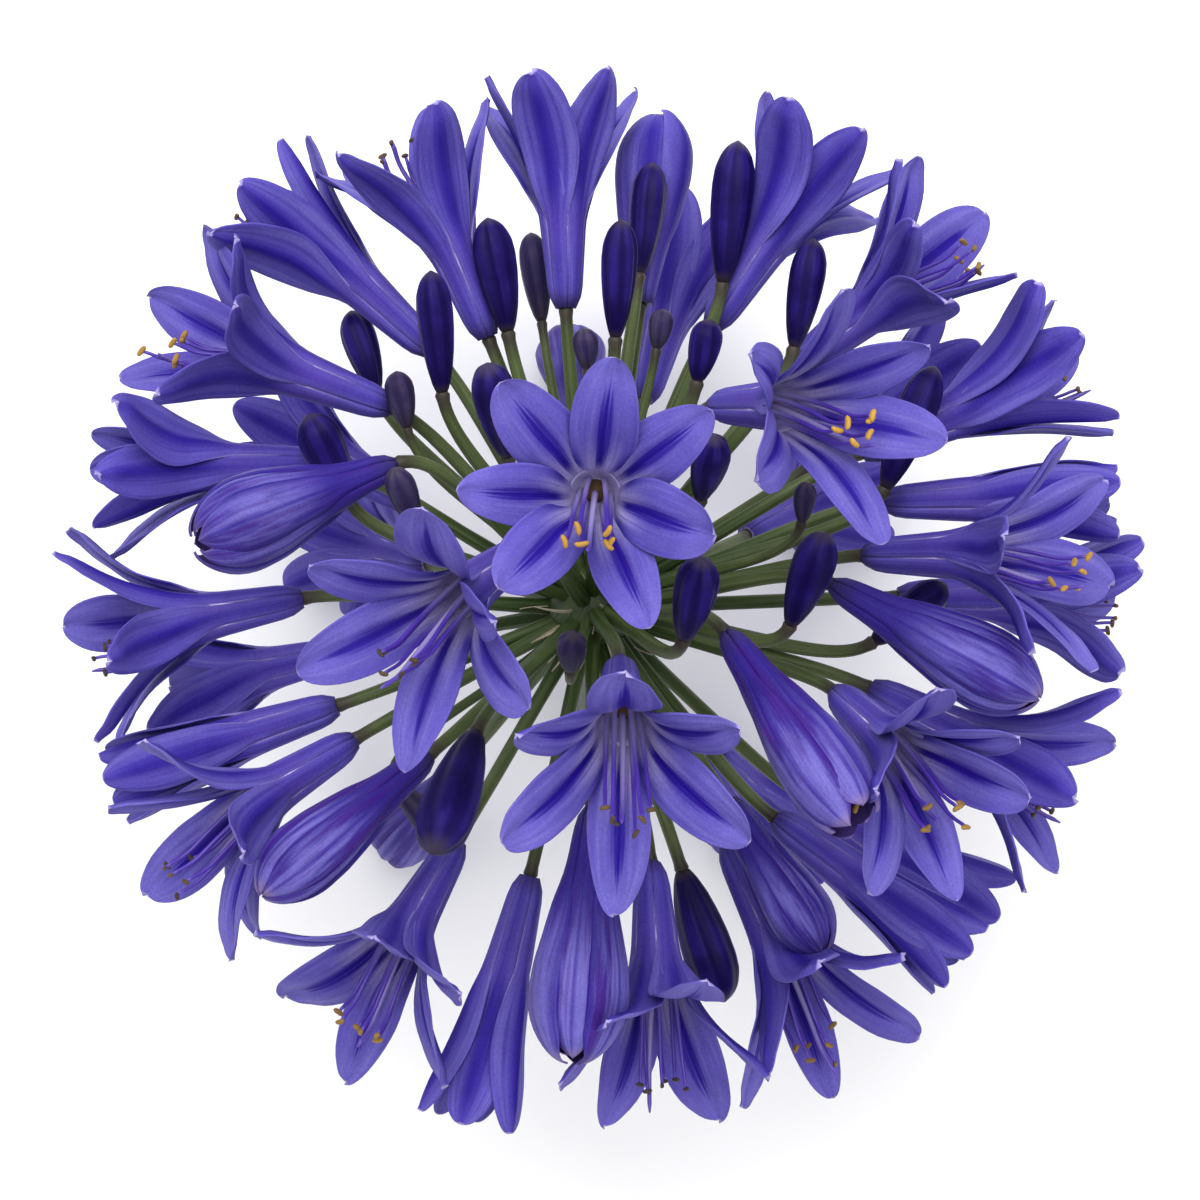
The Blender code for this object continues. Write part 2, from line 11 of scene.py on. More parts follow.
import bpy
import numpy as np
from bpy.props import FloatProperty, FloatVectorProperty, IntProperty, PointerProperty
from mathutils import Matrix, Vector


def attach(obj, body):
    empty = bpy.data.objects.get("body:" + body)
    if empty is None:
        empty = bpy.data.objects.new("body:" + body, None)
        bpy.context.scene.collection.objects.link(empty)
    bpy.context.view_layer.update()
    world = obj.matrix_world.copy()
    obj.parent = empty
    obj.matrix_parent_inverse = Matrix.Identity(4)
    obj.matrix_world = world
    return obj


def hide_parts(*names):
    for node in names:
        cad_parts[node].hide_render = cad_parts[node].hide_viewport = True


bl_info = {
    "name": "Agapanthus Flower Head",
    "version": (1, 0, 0),
    "blender": (4, 5, 0),
    "location": "View3D > Sidebar > Flower Head",
    "description": "Builds the flowers, buds and stalks of a picked agapanthus head",
    "category": "Add Mesh",
}

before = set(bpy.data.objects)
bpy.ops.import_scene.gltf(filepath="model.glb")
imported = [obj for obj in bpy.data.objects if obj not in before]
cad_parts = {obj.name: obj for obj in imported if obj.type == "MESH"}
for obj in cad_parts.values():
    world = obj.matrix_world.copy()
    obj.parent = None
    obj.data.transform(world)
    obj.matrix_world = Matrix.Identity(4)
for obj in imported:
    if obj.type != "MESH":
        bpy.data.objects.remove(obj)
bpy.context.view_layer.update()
MM = 0.001
STEM_NODE = "stalks_and_scape"

# The knob that all the stalks grow from, and the way the cut scape runs down from it
HUB = np.array((-2.5, -1.65, 88.0)) * MM
HUB_RADIUS = 8 * MM
SCAPE_CLOCK = -90
SCAPE_LEAN = 161

# The way that weight drew the flowers while the head grew
SAG = np.array((0.0, -0.9, -0.44))
SAG /= np.linalg.norm(SAG)

# Shares of a tepal's length at which the tube ends and the tepals part, and the angle of the tube's wall
# from its axis in degrees
TUBE_END = 0.3
SPLIT = 0.36
TUBE_ANGLE = 5
TUBE_RADIUS = 2.6 * MM

# Lengths are in millimetres and angles in degrees. A stalk leaves the knob by its clock and lean, and the
# flower on it looks along face, a clock angle, and tilt, a lean. Size is the length of a tepal, width that
# of a whole closed flower or bud, and spread the angle of a tepal's tip from the axis. Pollen runs from 0,
# brown and spent, to 1, bright yellow. A flower with no pollen value shows no stamens.
Open = namedtuple("Open", "name stalk clock lean face tilt size spread tepals roll pollen")
Shut = namedtuple("Shut", "name stalk clock lean face tilt size width")

OPEN_BLOOMS = (
    Open("bloom_01", 52, 135, 82, 160, 77, 50, 48, 6, 4, 0.75),
    Open("bloom_02", 56, 122, 92, 137, 92, 47, 32, 6, -8, 0.4),
    Open("bloom_03", 53, 111, 84, 112, 86, 45, 40, 6, 10, 0.2),
    Open("bloom_04", 55, 95, 88, 92, 93, 45, 40, 6, 22, 0.2),
    Open("bloom_05", 52, 76, 128, 75, 122, 45, 34, 6, 6, 0.3),
    Open("bloom_06", 56, 67, 88, 57, 90, 46, 36, 6, -12, 0.3),
    Open("bloom_07", 57, 50, 92, 38, 68, 46, 48, 6, 6, 0.6),
    Open("bloom_08", 52, 59, 53, -4, 34, 49, 66, 6, 4, 1.0),
    Open("bloom_09", 57, 30, 88, 22, 92, 47, 40, 6, -10, 0.3),
    Open("bloom_10", 52, 33, 112, 36, 106, 40, 28, 6, 8, 0.4),
    Open("bloom_11", 57, 20, 90, 2, 90, 43, 10, 6, 0, None),
    Open("bloom_12", 52, 11, 74, 0, 60, 48, 62, 6, 14, 0.8),
    Open("bloom_13", 57, 2, 97, 0, 95, 46, 36, 6, -6, 0.3),
    Open("bloom_14", 52, -19, 62, -46, 36, 47, 63, 6, -10, 0.6),
    Open("bloom_15", 53, -16, 86, -27, 77, 48, 60, 6, 8, 0.25),
    Open("bloom_16", 51, -49, 82, -36, 88, 43, 14, 6, 12, None),
    Open("bloom_17", 53, -42, 104, -33, 98, 44, 22, 6, 0, 0.2),
    Open("bloom_18", 50, -60, 80, -63, 66, 49, 58, 6, -18, 0.4),
    Open("bloom_19", 50, -77, 69, -87, 66, 48, 56, 6, 30, 0.1),
    Open("bloom_20", 51, -103, 76, -104, 86, 46, 14, 6, 15, None),
    Open("bloom_21", 50, -120, 77, -120, 58, 48, 54, 6, -5, 0.6),
    Open("bloom_22", 51, -151, 74, -148, 64, 47, 56, 6, 6, 0.15),
    Open("bloom_23", 50, -159, 82, -162, 92, 44, 10, 6, 0, None),
    Open("bloom_24", 53, 178, 84, -169, 82, 46, 56, 6, 7, 0.1),
    Open("bloom_25", 52, -170, 114, -167, 110, 43, 44, 6, 10, 0.3),
    Open("bloom_26", 50, 138, 18, -142, 39, 49, 70, 6, 3, 0.1),
    Open("bloom_27", 57, 152, 88, -178, 88, 42, 26, 6, 8, None),
    Open("bloom_28", 52, 87, 25, -101, 9, 46, 71, 7, 5, 1.0),
    Open("bloom_29", 50, -62, 12, -88, 30, 49, 70, 6, 0, 0.2),
    Open("bloom_30", 47, 150, 122, 150, 116, 39, 42, 6, -6, 0.3),
)

SHUT_BLOOMS = (
    Shut("closed_01", 58, 81, 99, 84, 97, 37, 13.5),
    Shut("closed_02", 51, 6, 56, -29, 84, 42, 14.5),
    Shut("closed_03", 50, -10, 28, -56, 62, 44, 14),
    Shut("closed_04", 49, -55, 58, -58, 84, 32, 11),
    Shut("closed_05", 50, -90, 43, -94, 80, 45, 16.5),
    Shut("closed_06", 50, -138, 50, -140, 76, 39, 12.5),
    Shut("closed_07", 51, 143, 57, -158, 80, 39, 16),
)

BUDS = (
    Shut("bud_01", 53, 107, 80, 100, 84, 21, 7.7),
    Shut("bud_02", 51, 125, 66, 95, 80, 22, 7),
    Shut("bud_03", 57, 135, 97, 108, 95, 16, 6.5),
    Shut("bud_04", 50, 156, 75, 114, 75, 17, 8),
    Shut("bud_05", 49, 119, 38, 102, 55, 19, 8),
    Shut("bud_06", 51, 85, 72, 87, 78, 21.5, 6.4),
    Shut("bud_07", 62, 82, 92, 83, 92, 21, 6.6),
    Shut("bud_08", 64, 68, 84, 84, 86, 26, 7.8),
    Shut("bud_09", 61, 52, 76, 80, 84, 20, 6.5),
    Shut("bud_10", 58, 22, 82, 68, 84, 24, 7.5),
    Shut("bud_11", 49, 65, 65, 78, 75, 11.5, 6),
    Shut("bud_12", 49, 45, 33, 77, 45, 15, 6.5),
    Shut("bud_13", 49, -19, 20, 78, 52, 18, 7.5),
    Shut("bud_14", 51, -5, 43, 71, 62, 19, 7.6),
    Shut("bud_15", 52, -7, 84, 39, 80, 17, 7),
    Shut("bud_16", 51, -71, 80, -72, 85, 25, 9.4),
    Shut("bud_17", 49, -133, 37, -109, 50, 27, 10.5),
)

YOUNG_BUDS = (
    Shut("young_01", 54, 100, 96, 97, 97, 17, 6),
    Shut("young_02", 48, 91, 62, 95, 70, 7.5, 4.6),
    Shut("young_03", 49, 76, 80, 80, 85, 7.4, 4.6),
    Shut("young_04", 50, 22, 53, 85, 60, 8, 4.2),
    Shut("young_05", 48, 136, 76, 100, 80, 10.5, 5.5),
    Shut("young_06", 48, 155, 45, 110, 60, 12, 5.5),
    Shut("young_07", 42, -109, 16, 85, 45, 9, 5.4),
    Shut("young_08", 50, -138, 100, -48, 95, 14, 6),
)

# The lower flowers that carry the head. Their stalks are as long as it takes to reach the surface.
RESTING_OPEN = (
    Open("rest_01", 54, 25, 142, 25, 150, 46, 42, 6, 0, 0.3),
    Open("rest_02", 54, 165, 142, 165, 150, 46, 42, 6, 0, 0.3),
    Open("rest_03", 54, -50, 140, -50, 148, 46, 42, 6, 0, 0.3),
)
RESTING_SHUT = (
    Shut("rest_04", 54, 95, 144, 95, 152, 42, 13),
    Shut("rest_05", 54, -130, 140, -130, 148, 42, 13),
)

# Tepals that bend away from a neighbour: flower and tepal, and the spread that clears it
BENT_TEPALS = {("bloom_13", 0): 29, ("bloom_14", 5): 42, ("bloom_18", 5): 37}

# How far the tepals of a flower stray from their even places, one pair for each tepal from the first:
# degrees round the flower's axis, and degrees of further opening
STRAYS = {
    "bloom_01": ((20, 40), (-10, 50), (-25, 25), (20, 0), (15, 5), (0, 25)),
    "bloom_02": ((-5, -10), (10, 10), (-20, 25), (0, 0), (0, 0), (10, 5)),
    "bloom_03": ((5, 10), (10, 20), (25, 25), (-5, 25), (-5, -5), (-25, 15)),
    "bloom_04": ((-5, 15), (15, -5), (-5, 15), (15, -5), (-20, 10), (10, 10)),
    "bloom_06": ((-5, 25), (25, 15), (-5, 15), (0, 50), (-25, 5), (10, 10)),
    "bloom_07": ((-5, 10), (-20, 10), (-25, 0), (15, -20), (20, 30), (-5, 15)),
    "bloom_08": ((-10, -10), (-5, -30), (5, -25), (-5, 10), (10, 10), (0, 5)),
    "bloom_09": ((-5, 35), (10, 0), (-5, -10), (25, -5), (0, -10), (25, 15)),
    "bloom_11": ((5, -5), (20, 0), (5, 5), (5, -5), (5, 10), (10, 5)),
    "bloom_12": ((-10, 5), (5, 25), (-10, 25), (0, 0), (-10, 15), (-15, 20)),
    "bloom_13": ((-5, 5), (15, 0), (0, 0), (-15, 10), (25, 40), (20, 20)),
    "bloom_14": ((5, 5), (-5, -20), (-20, -30), (0, 0), (-5, 0), (5, 5)),
    "bloom_15": ((0, 5), (25, 5), (-10, 40), (-10, -10), (-20, 0), (-10, -5)),
    "bloom_18": ((0, 35), (-25, 20), (-5, -5), (5, -25), (15, -5), (5, 10)),
    "bloom_19": ((-15, 50), (-25, 5), (-5, 5), (0, 0), (25, 5), (5, 30)),
    "bloom_21": ((25, 35), (5, 35), (0, 5), (25, 10), (0, 55), (25, 25)),
    "bloom_22": ((-10, 20), (0, 25), (20, 10), (0, 60), (-25, 10), (15, -25)),
    "bloom_23": ((0, -5), (0, 0), (-5, -5), (-10, 5), (-5, -10), (-10, 0)),
    "bloom_24": ((-15, -5), (10, 25), (10, 5), (0, 20), (10, -10), (5, 15)),
    "bloom_25": ((-10, 0), (15, 50), (0, 0), (20, 10), (5, -20), (0, 0)),
    "bloom_26": ((5, 10), (0, 0), (-15, 10), (-5, 5), (5, -20), (10, -20)),
    "bloom_27": ((25, 50), (0, 25), (0, 5), (-25, 25), (0, -25), (-15, -5)),
    "bloom_28": ((5, 15), (-5, 20), (-10, -5), (-5, -5), (20, -10), (15, 0), (10, 20)),
    "bloom_29": ((0, 0), (-5, -5), (-5, -5), (5, 20), (10, -5), (5, -5)),
}

# Closed flower: share of its length, and how far its girth has grown from the neck's to the full one
SHUT_FORM = (
    (0, 0.03, 0.12, 0.22, 0.42, 0.62, 0.76, 1),
    (-0.45, -0.1, 0.02, 0.12, 0.5, 0.9, 1, 1),
)

# The same for a flower about to open, swollen and shut
BALLOON_FORM = ((0, 0.1, 0.25, 0.45, 0.65, 0.8, 1), (-0.1, 0.0, 0.22, 0.66, 0.97, 1, 1))
BALLOONS = ("closed_01",)

# Shares of its length from which a closed flower narrows to its mouth, and from which its tips round off
CLOSING = 0.72
ROUNDING = 0.91

# How far a closed flower's tips stand off its axis, in millimetres, and the least mouth that shows anthers
MOUTHS = {"closed_07": 1.3, "closed_05": 0.9, "closed_03": 3.2}
SHOWN_ANTHERS = 1.2

# Bud: share of its length and of its girth, and the share of grey green on a young one
BUD_FORM = (
    (0, 0.02, 0.06, 0.2, 0.36, 0.52, 0.68, 0.8, 0.9, 0.96, 1),
    (0.24, 0.33, 0.44, 0.68, 0.85, 0.96, 1, 0.94, 0.72, 0.46, 0.08),
)
YOUNG_GREEN = 0.6

# Throat: shares of a tepal's length and of the tube's girth, and how far it keeps off the tube's wall
THROAT_DEPTH = np.array((0.25, 0.25, 0.4, 0.375, 0.35, 0.325, 0.305, 0.29, 0.28))
THROAT_GIRTH = np.array((0.1, 1, 1, 0.96, 0.9, 0.82, 0.7, 0.5, 0.1))
THROAT_INSET = 0.1 * MM

# Top of the ovary: its ends in shares of a tepal's length, its radius, and its girth at even steps
OVARY_ENDS = (0.27, 0.35)
OVARY_RADIUS = 2.1 * MM
OVARY_GIRTH = np.array((1, 1, 0.92, 0.75, 0.48, 0.15))
OVARY_TINT = 0.2

# Counts: stamens and folded tepals of a flower, sides of round parts, and rounds of sliding to the surface
STAMENS = 6
FOLDS = 6
THREAD_SIDES = 8
ANTHER_SIDES = 12
STALK_SIDES = 12
OVARY_SIDES = 16
THROAT_SIDES = 24
SCAPE_SIDES = 40
BUD_SIDES = 48
SLIDE_ROUNDS = 3

# Least half width of a tip, how far a flower's base stands off its stalk's end, how far the stalk reaches
# into the flower, and the stretch in which the stalk turns to it
LEAST_HALF = 0.12 * MM
BASE_GAP = 0.3 * MM
STALK_OVERLAP = 0.8 * MM
STALK_END_RUN = 9 * MM

# Turn from one papery shred to the next, in degrees, and the starts of the random draws
GOLDEN_ANGLE = 137.508
BRACT_SEED = 11
FLOWER_SEED = 7

# Spots of colour to a metre: on skin, on buds and on the floor
BLOTCHES_PER_METRE = 110.0
CLOUDS_PER_METRE = 150.0
TONES_PER_METRE = 6.0

# Stage, in metres: lamps look at the knob, and the camera looks straight down beside it
KEY_PLACE = (-0.1, 0.6, 1.1)
KEY_SIZE = 1.2
FILL_PLACE = (0.5, -0.5, 0.9)
FILL_SIZE = 0.8
FLOOR_HALF = 1.5
CAMERA_SHIFT = 1.47 * MM
SENSOR_WIDTH = 36


class HeadSizes(bpy.types.PropertyGroup):
    """Sizes of the flowers, stalks and shreds."""

    wide_tepal: FloatProperty(
        name="Inner Tepal Half Width", description="Half the width of the three inner tepals",
        default=5.9 * MM, min=0, unit="LENGTH")
    narrow_tepal: FloatProperty(
        name="Outer Tepal Half Width", description="Half the width of the three outer tepals",
        default=5.2 * MM, min=0, unit="LENGTH")
    tepal_thickness: FloatProperty(
        name="Tepal Thickness", description="Thickness of a tepal in its middle", default=0.62 * MM,
        min=0, unit="LENGTH")
    flank_swell: FloatProperty(
        name="Flank Swell", description="How far a tepal swells on both sides of its midrib",
        default=0.32 * MM, min=0, unit="LENGTH")
    whorl_step: FloatProperty(
        name="Whorl Step", description="How far the outer tepals stand behind the inner ones",
        default=0.9 * MM, min=0, unit="LENGTH")
    rib_depth: FloatProperty(
        name="Midrib Depth", description="Depth of the groove along a tepal's middle", default=0.42 * MM,
        min=0, unit="LENGTH")
    wave: FloatProperty(
        name="Edge Wave", description="How far a tepal's edge waves", default=0.65 * MM, min=0,
        unit="LENGTH")
    hug: FloatProperty(
        name="Edge Tuck", description="How far the edges of a closed flower's outer tepals tuck in",
        default=0.6 * MM, min=0, unit="LENGTH")
    wrinkle: FloatProperty(
        name="Wrinkle Depth", description="Depth of the creases in a closed flower", default=0.24 * MM,
        min=0, unit="LENGTH")
    stalk_radius: FloatProperty(
        name="Stalk Radius", description="Radius of a flower stalk in its middle", default=1.3 * MM,
        min=0, unit="LENGTH")
    young_stalk_radius: FloatProperty(
        name="Young Stalk Radius", description="Radius of the stalk of a young bud", default=0.95 * MM,
        min=0, unit="LENGTH")
    filament_radius: FloatProperty(
        name="Filament Radius", description="Radius of a stamen's filament", default=0.52 * MM, min=0,
        unit="LENGTH")
    anther_length: FloatProperty(
        name="Anther Length", description="Length of an anther", default=2.4 * MM, min=0, unit="LENGTH")
    scape_radius: FloatProperty(
        name="Scape Radius", description="Radius of the cut scape", default=5 * MM, min=0, unit="LENGTH")
    bracts: IntProperty(
        name="Papery Shreds", description="Number of papery shreds round the knob", default=26, min=0)


class HeadColours(bpy.types.PropertyGroup):
    """Colours of the flowers, buds and stalks."""

    petal: FloatVectorProperty(
        name="Petal", description="Face of an open tepal", default=(0.082, 0.062, 0.345), size=3,
        subtype="COLOR")
    # Also painted highlight: on the swollen parts of closed flowers and along the margins of open tepals
    petal_pale_and_highlight: FloatVectorProperty(
        name="Petal Flank", description="Paler flanks and tips", default=(0.15, 0.13, 0.44), size=3,
        subtype="COLOR")
    # Also painted shade: where open lobes meet near the throat, and along the overlapping edges of closed
    # tepals
    petal_stripe_and_shade: FloatVectorProperty(
        name="Petal Stripe", description="Stripe along the midrib", default=(0.01, 0.0, 0.2), size=3,
        subtype="COLOR")
    petal_throat: FloatVectorProperty(
        name="Throat", description="Pale lilac throat", default=(0.58, 0.52, 0.78), size=3,
        subtype="COLOR")
    petal_back: FloatVectorProperty(
        name="Petal Back", description="Outside of the flower", default=(0.072, 0.052, 0.33), size=3,
        subtype="COLOR")
    petal_blush: FloatVectorProperty(
        name="Tube Blush", description="Purple flush on the outside of the tube",
        default=(0.085, 0.032, 0.28), size=3, subtype="COLOR")
    petal_tip: FloatVectorProperty(
        name="Tepal Tip", description="Whitish point of a tepal", default=(0.52, 0.46, 0.72), size=3,
        subtype="COLOR")
    petal_base: FloatVectorProperty(
        name="Tube Base", description="Dull base of the tube", default=(0.04, 0.03, 0.13), size=3,
        subtype="COLOR")
    spent: FloatVectorProperty(
        name="Fading Petal", description="Closed and fading tepals", default=(0.024, 0.012, 0.19), size=3,
        subtype="COLOR")
    spent_streak: FloatVectorProperty(
        name="Fading Streak", description="Purple streaks on fading tepals", default=(0.05, 0.008, 0.16),
        size=3, subtype="COLOR")
    spent_tip: FloatVectorProperty(
        name="Dry Tip", description="Dry tips of fading tepals", default=(0.24, 0.17, 0.3), size=3,
        subtype="COLOR")
    # The dark bud colour, left showing in the grooves as painted shade
    bud: FloatVectorProperty(
        name="Bud", description="Dark grooves of a bud", default=(0.004, 0.001, 0.04), size=3,
        subtype="COLOR")
    # Painted highlight on the ridges of a bud
    bud_ridge_highlight: FloatVectorProperty(
        name="Bud Ridge", description="Paler ridges of a bud", default=(0.02, 0.01, 0.145), size=3,
        subtype="COLOR")
    bud_green: FloatVectorProperty(
        name="Bud Green", description="Grey green of a young bud", default=(0.07, 0.056, 0.056), size=3,
        subtype="COLOR")
    stalk: FloatVectorProperty(
        name="Stalk", description="Green of a stalk's outer half", default=(0.06, 0.078, 0.026), size=3,
        subtype="COLOR")
    stalk_root: FloatVectorProperty(
        name="Stalk Root", description="Deeper green near the knob", default=(0.022, 0.046, 0.008),
        size=3, subtype="COLOR")
    stalk_line: FloatVectorProperty(
        name="Stalk Line", description="Paler lines along a stalk", default=(0.16, 0.2, 0.09), size=3,
        subtype="COLOR")
    stalk_end: FloatVectorProperty(
        name="Stalk End", description="Dull brown of a stalk under its flower",
        default=(0.036, 0.024, 0.024), size=3, subtype="COLOR")
    pith: FloatVectorProperty(
        name="Pith", description="Wet pith of the cut scape", default=(0.42, 0.5, 0.24), size=3,
        subtype="COLOR")
    filament: FloatVectorProperty(
        name="Filament", description="Pale lilac root of a filament", default=(0.43, 0.37, 0.66), size=3,
        subtype="COLOR")
    filament_tip: FloatVectorProperty(
        name="Filament Tip", description="Violet end of a filament", default=(0.06, 0.026, 0.3), size=3,
        subtype="COLOR")
    pollen: FloatVectorProperty(
        name="Pollen", description="Bright anther", default=(0.5, 0.27, 0.03), size=3, subtype="COLOR")
    pollen_spent: FloatVectorProperty(
        name="Spent Anther", description="Brown anther", default=(0.032, 0.019, 0.011), size=3,
        subtype="COLOR")
    paper: FloatVectorProperty(
        name="Papery Shred", description="Dry bracts", default=(0.56, 0.49, 0.36), size=3,
        subtype="COLOR")
    paper_line: FloatVectorProperty(
        name="Shred Line", description="Pale lines of the dry bracts", default=(0.7, 0.64, 0.52), size=3,
        subtype="COLOR")
    paper_end: FloatVectorProperty(
        name="Shred End", description="Brown ends of the dry bracts", default=(0.25, 0.15, 0.08), size=3,
        subtype="COLOR")


class StageLook(bpy.types.PropertyGroup):
    """Camera, light and floor."""

    distance: FloatProperty(
        name="Camera Distance", description="Camera's height over the knob", default=0.7, min=0,
        unit="LENGTH")
    lens: FloatProperty(name="Lens", description="Focal length in millimetres", default=114.0)
    floor: FloatVectorProperty(
        name="Floor", description="Pale floor", default=(0.96, 0.96, 0.965), size=3, subtype="COLOR")
    sky: FloatProperty(name="Sky", description="Strength of the light from all round", default=0.7)
    key: FloatProperty(name="Key Light", description="Power of the large lamp", default=18.0, unit="POWER")
    fill: FloatProperty(name="Fill Light", description="Power of the low lamp", default=3.0, unit="POWER")


def sizes():
    return bpy.context.scene.head_sizes


def colours():
    return bpy.context.scene.head_colours


def unit(vector):
    return vector / np.linalg.norm(vector)


def aim(clock, lean):
    """Unit vector for a clock angle and a lean, in degrees."""
    turn = math.radians(clock)
    away = math.radians(lean)
    return np.array((math.sin(away) * math.cos(turn), math.sin(away) * math.sin(turn), math.cos(away)))


def ramp(value, low, high):
    """Smooth step from 0 at low to 1 at high."""
    share = np.clip((value - low) / (high - low), 0, 1)
    return share * share * (3 - 2 * share)


def soft(value, form, blur=0.03):
    """A form's girth at each share of length, with its corners rounded."""
    offsets = np.linspace(-blur, blur, 5)
    return sum(np.interp(value + offset, *form) for offset in offsets) / len(offsets)


class Flower:
    """Place and axes of one flower or bud. Up is the side that its weight hangs from."""

    def __init__(self, row, slid=0.0):
        self.row = row
        self.size = row.size * MM
        self.forward = aim(row.face, row.tilt)
        self.up = unit(-(SAG - self.forward * (SAG @ self.forward)))
        self.right = np.cross(self.up, self.forward)
        self.stalk_end = HUB + aim(row.clock, row.lean) * (row.stalk * MM + slid)
        self.base = self.stalk_end + self.forward * BASE_GAP
        self.random = np.random.default_rng(sum(map(ord, row.name)) * FLOWER_SEED)

    def radial(self, turn):
        return self.up * math.cos(turn) + self.right * math.sin(turn)

    def sideways(self, turn):
        return self.right * math.cos(turn) - self.up * math.sin(turn)

    def ahead(self, distance):
        """Points on the axis, at these distances from the base."""
        return self.base + np.multiply.outer(distance, self.forward)


def grid_faces(rows, columns, start, around=False):
    """Quads of a grid of points, seen from the side that its columns turn round."""
    row = np.arange(rows - 1)[:, None] * columns
    near = np.arange(columns if around else columns - 1)[None, :]
    far = (near + 1) % columns
    below = row + columns
    return np.stack((row + near, below + near, below + far, row + far), -1).reshape(-1, 4) + start


def strip_faces(first, second):
    """Quads between two lines of points."""
    return np.stack((first[:-1], second[:-1], second[1:], first[1:]), -1)


# Values that every point holds for the materials, and a direction that no tube takes
VALUES = ("across", "along", "inner", "tint")
SLANTED = (0.3, 0.5, 0.8)


class Shape:
    """Points, quads and the named values of a piece, gathered from its parts."""

    def __init__(self):
        self.points = []
        self.faces = []
        self.values = {name: [] for name in VALUES}
        self.count = 0

    def add(self, points, faces, **values):
        """Add a grid or a row of points and its quads. A value that isn't given is 0."""
        self.faces.append(np.concatenate(faces) + self.count)
        self.points.append(points.reshape(-1, 3))
        self.count += len(self.points[-1])
        for name in VALUES:
            self.values[name].append(np.broadcast_to(values.get(name, 0.0), points.shape[:-1]).ravel())

    def sheet(self, outer, inner, across, along, tint):
        """A thin closed blade between two grids of points."""
        rows, columns = outer.shape[:2]
        half = rows * columns
        number = np.arange(half).reshape(rows, columns)
        back = number + half
        faces = (
            grid_faces(rows, columns, 0),
            grid_faces(rows, columns, half)[:, ::-1],
            strip_faces(number[:, 0], back[:, 0]),
            strip_faces(back[:, -1], number[:, -1]),
            strip_faces(back[0], number[0]),
            strip_faces(number[-1], back[-1]),
        )
        side = np.array((0.0, 1.0))[:, None, None]
        self.add(np.stack((outer, inner)), faces, across=across, along=along, inner=side, tint=tint)

    def tube(self, line, radii, sides, along=None, tint=0.0, spoke=None, bumps=None, axis=None):
        """A closed tube through the points of a line. Bumps swell it by a share at each point and side. Its
        rings stand square to the axis where one is given."""
        rows = len(line)
        if axis is None:
            ahead = np.gradient(line, axis=0)
            ahead /= np.linalg.norm(ahead, axis=1)[:, None]
        else:
            ahead = np.tile(axis, (rows, 1))
        if spoke is None:
            spoke = np.cross(ahead[0], SLANTED)
        turn = np.arange(sides) * math.tau / sides
        rings = []
        for place, forward, radius in zip(line, ahead, radii):
            spoke = unit(spoke - forward * (forward @ spoke))
            other = np.cross(forward, spoke)
            rings.append(place + radius * (np.cos(turn)[:, None] * spoke + np.sin(turn)[:, None] * other))
        rings = np.array(rings)
        if bumps is not None:
            rings = line[:, None] + (rings - line[:, None]) * (1 + bumps)[..., None]
        if along is None:
            along = np.linspace(0, 1, rows)
        points = np.concatenate((rings.reshape(-1, 3), line[[0, -1]]))
        faces = grid_faces(rows, sides, 0, around=True)[:, ::-1]
        first = np.arange(sides)
        after = (first + 1) % sides
        pole = np.full(sides, rows * sides)
        last = (rows - 1) * sides
        near_end = np.stack((pole, after, first, first), -1)
        far_end = np.stack((pole + 1, last + first, last + after, last + after), -1)
        along = np.append(np.repeat(along, sides), (along[0], along[-1]))
        across = np.append(np.tile(np.sin(turn), rows), (0.0, 0.0))
        self.add(points, (faces, near_end, far_end), across=across, along=along, tint=tint)

    def make(self, name, material, slot, *nodes):
        """The finished piece, in the scene, riding on the head in place of its solids."""
        points = np.concatenate(self.points)
        faces = [list(dict.fromkeys(face)) for face in np.concatenate(self.faces).tolist()]
        mesh = bpy.data.meshes.new(name)
        mesh.from_pydata(points.tolist(), [], faces)
        for label, parts in self.values.items():
            layer = mesh.attributes.new(label, "FLOAT", "POINT")
            layer.data.foreach_set("value", np.concatenate(parts).astype(np.float32))
        mesh.materials.append(material)
        mesh.shade_smooth()
        piece = bpy.data.objects.new(name, mesh)
        bpy.context.scene.collection.objects.link(piece)
        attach(piece, "root")
        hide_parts(*nodes)


def tepal_line(size, spread, steps, hook=0.0):
    """Distance along the axis, radius and slope at each step of a tepal's midline, from the base out."""
    fine = np.linspace(0, 1, 121)
    opening = np.clip((fine - TUBE_END) / (1 - TUBE_END), 0, 1)
    slope = np.radians(TUBE_ANGLE + (spread - TUBE_ANGLE) * opening + hook * ramp(fine, 0.8, 1.0))
    step = size * (fine[1] - fine[0])
    along = np.concatenate(([0], np.cumsum(np.cos(slope[:-1]) * step)))
    swell = 0.55 + 0.45 * ramp(fine, -0.02, 0.07)
    radius = TUBE_RADIUS * swell + np.concatenate(([0], np.cumsum(np.sin(slope[:-1]) * step)))
    return np.interp(steps, fine, along), np.interp(steps, fine, radius), np.interp(steps, fine, slope)


def lobe_half(full, tube_half, blunt):
    """Half width of a tepal: a share of the tube up to the split, then an oblong blade with a rounded tip.
    The more blunt it is, the later it narrows."""
    share = np.clip((ALONG - SPLIT) / (1 - SPLIT), 0, 1)
    grown = np.sin(np.clip(share / 0.6, 0, 1) * math.pi / 2)
    tip = np.clip((share - 0.5) / 0.5, 0, 1)
    root = np.minimum(tube_half, np.interp(SPLIT, ALONG[:, 0], tube_half[:, 0]))
    half = root + (full - root) * grown
    return np.maximum(half * (1 - tip**blunt) ** 0.5, LEAST_HALF)


# Steps along a blade as a column, closer at its tip, and steps across it from -1 to 1, closer at its edges
TIP_STEPS = (0.945, 0.965, 0.98, 0.99, 0.996, 1.0)
ALONG = np.concatenate((np.linspace(0, 0.32, 8), np.linspace(0.36, 0.92, 16), TIP_STEPS))[:, None]
QUARTER = math.pi / 2 * 0.86
ACROSS = np.sin(np.linspace(-1, 1, 15) * QUARTER) / math.sin(QUARTER)


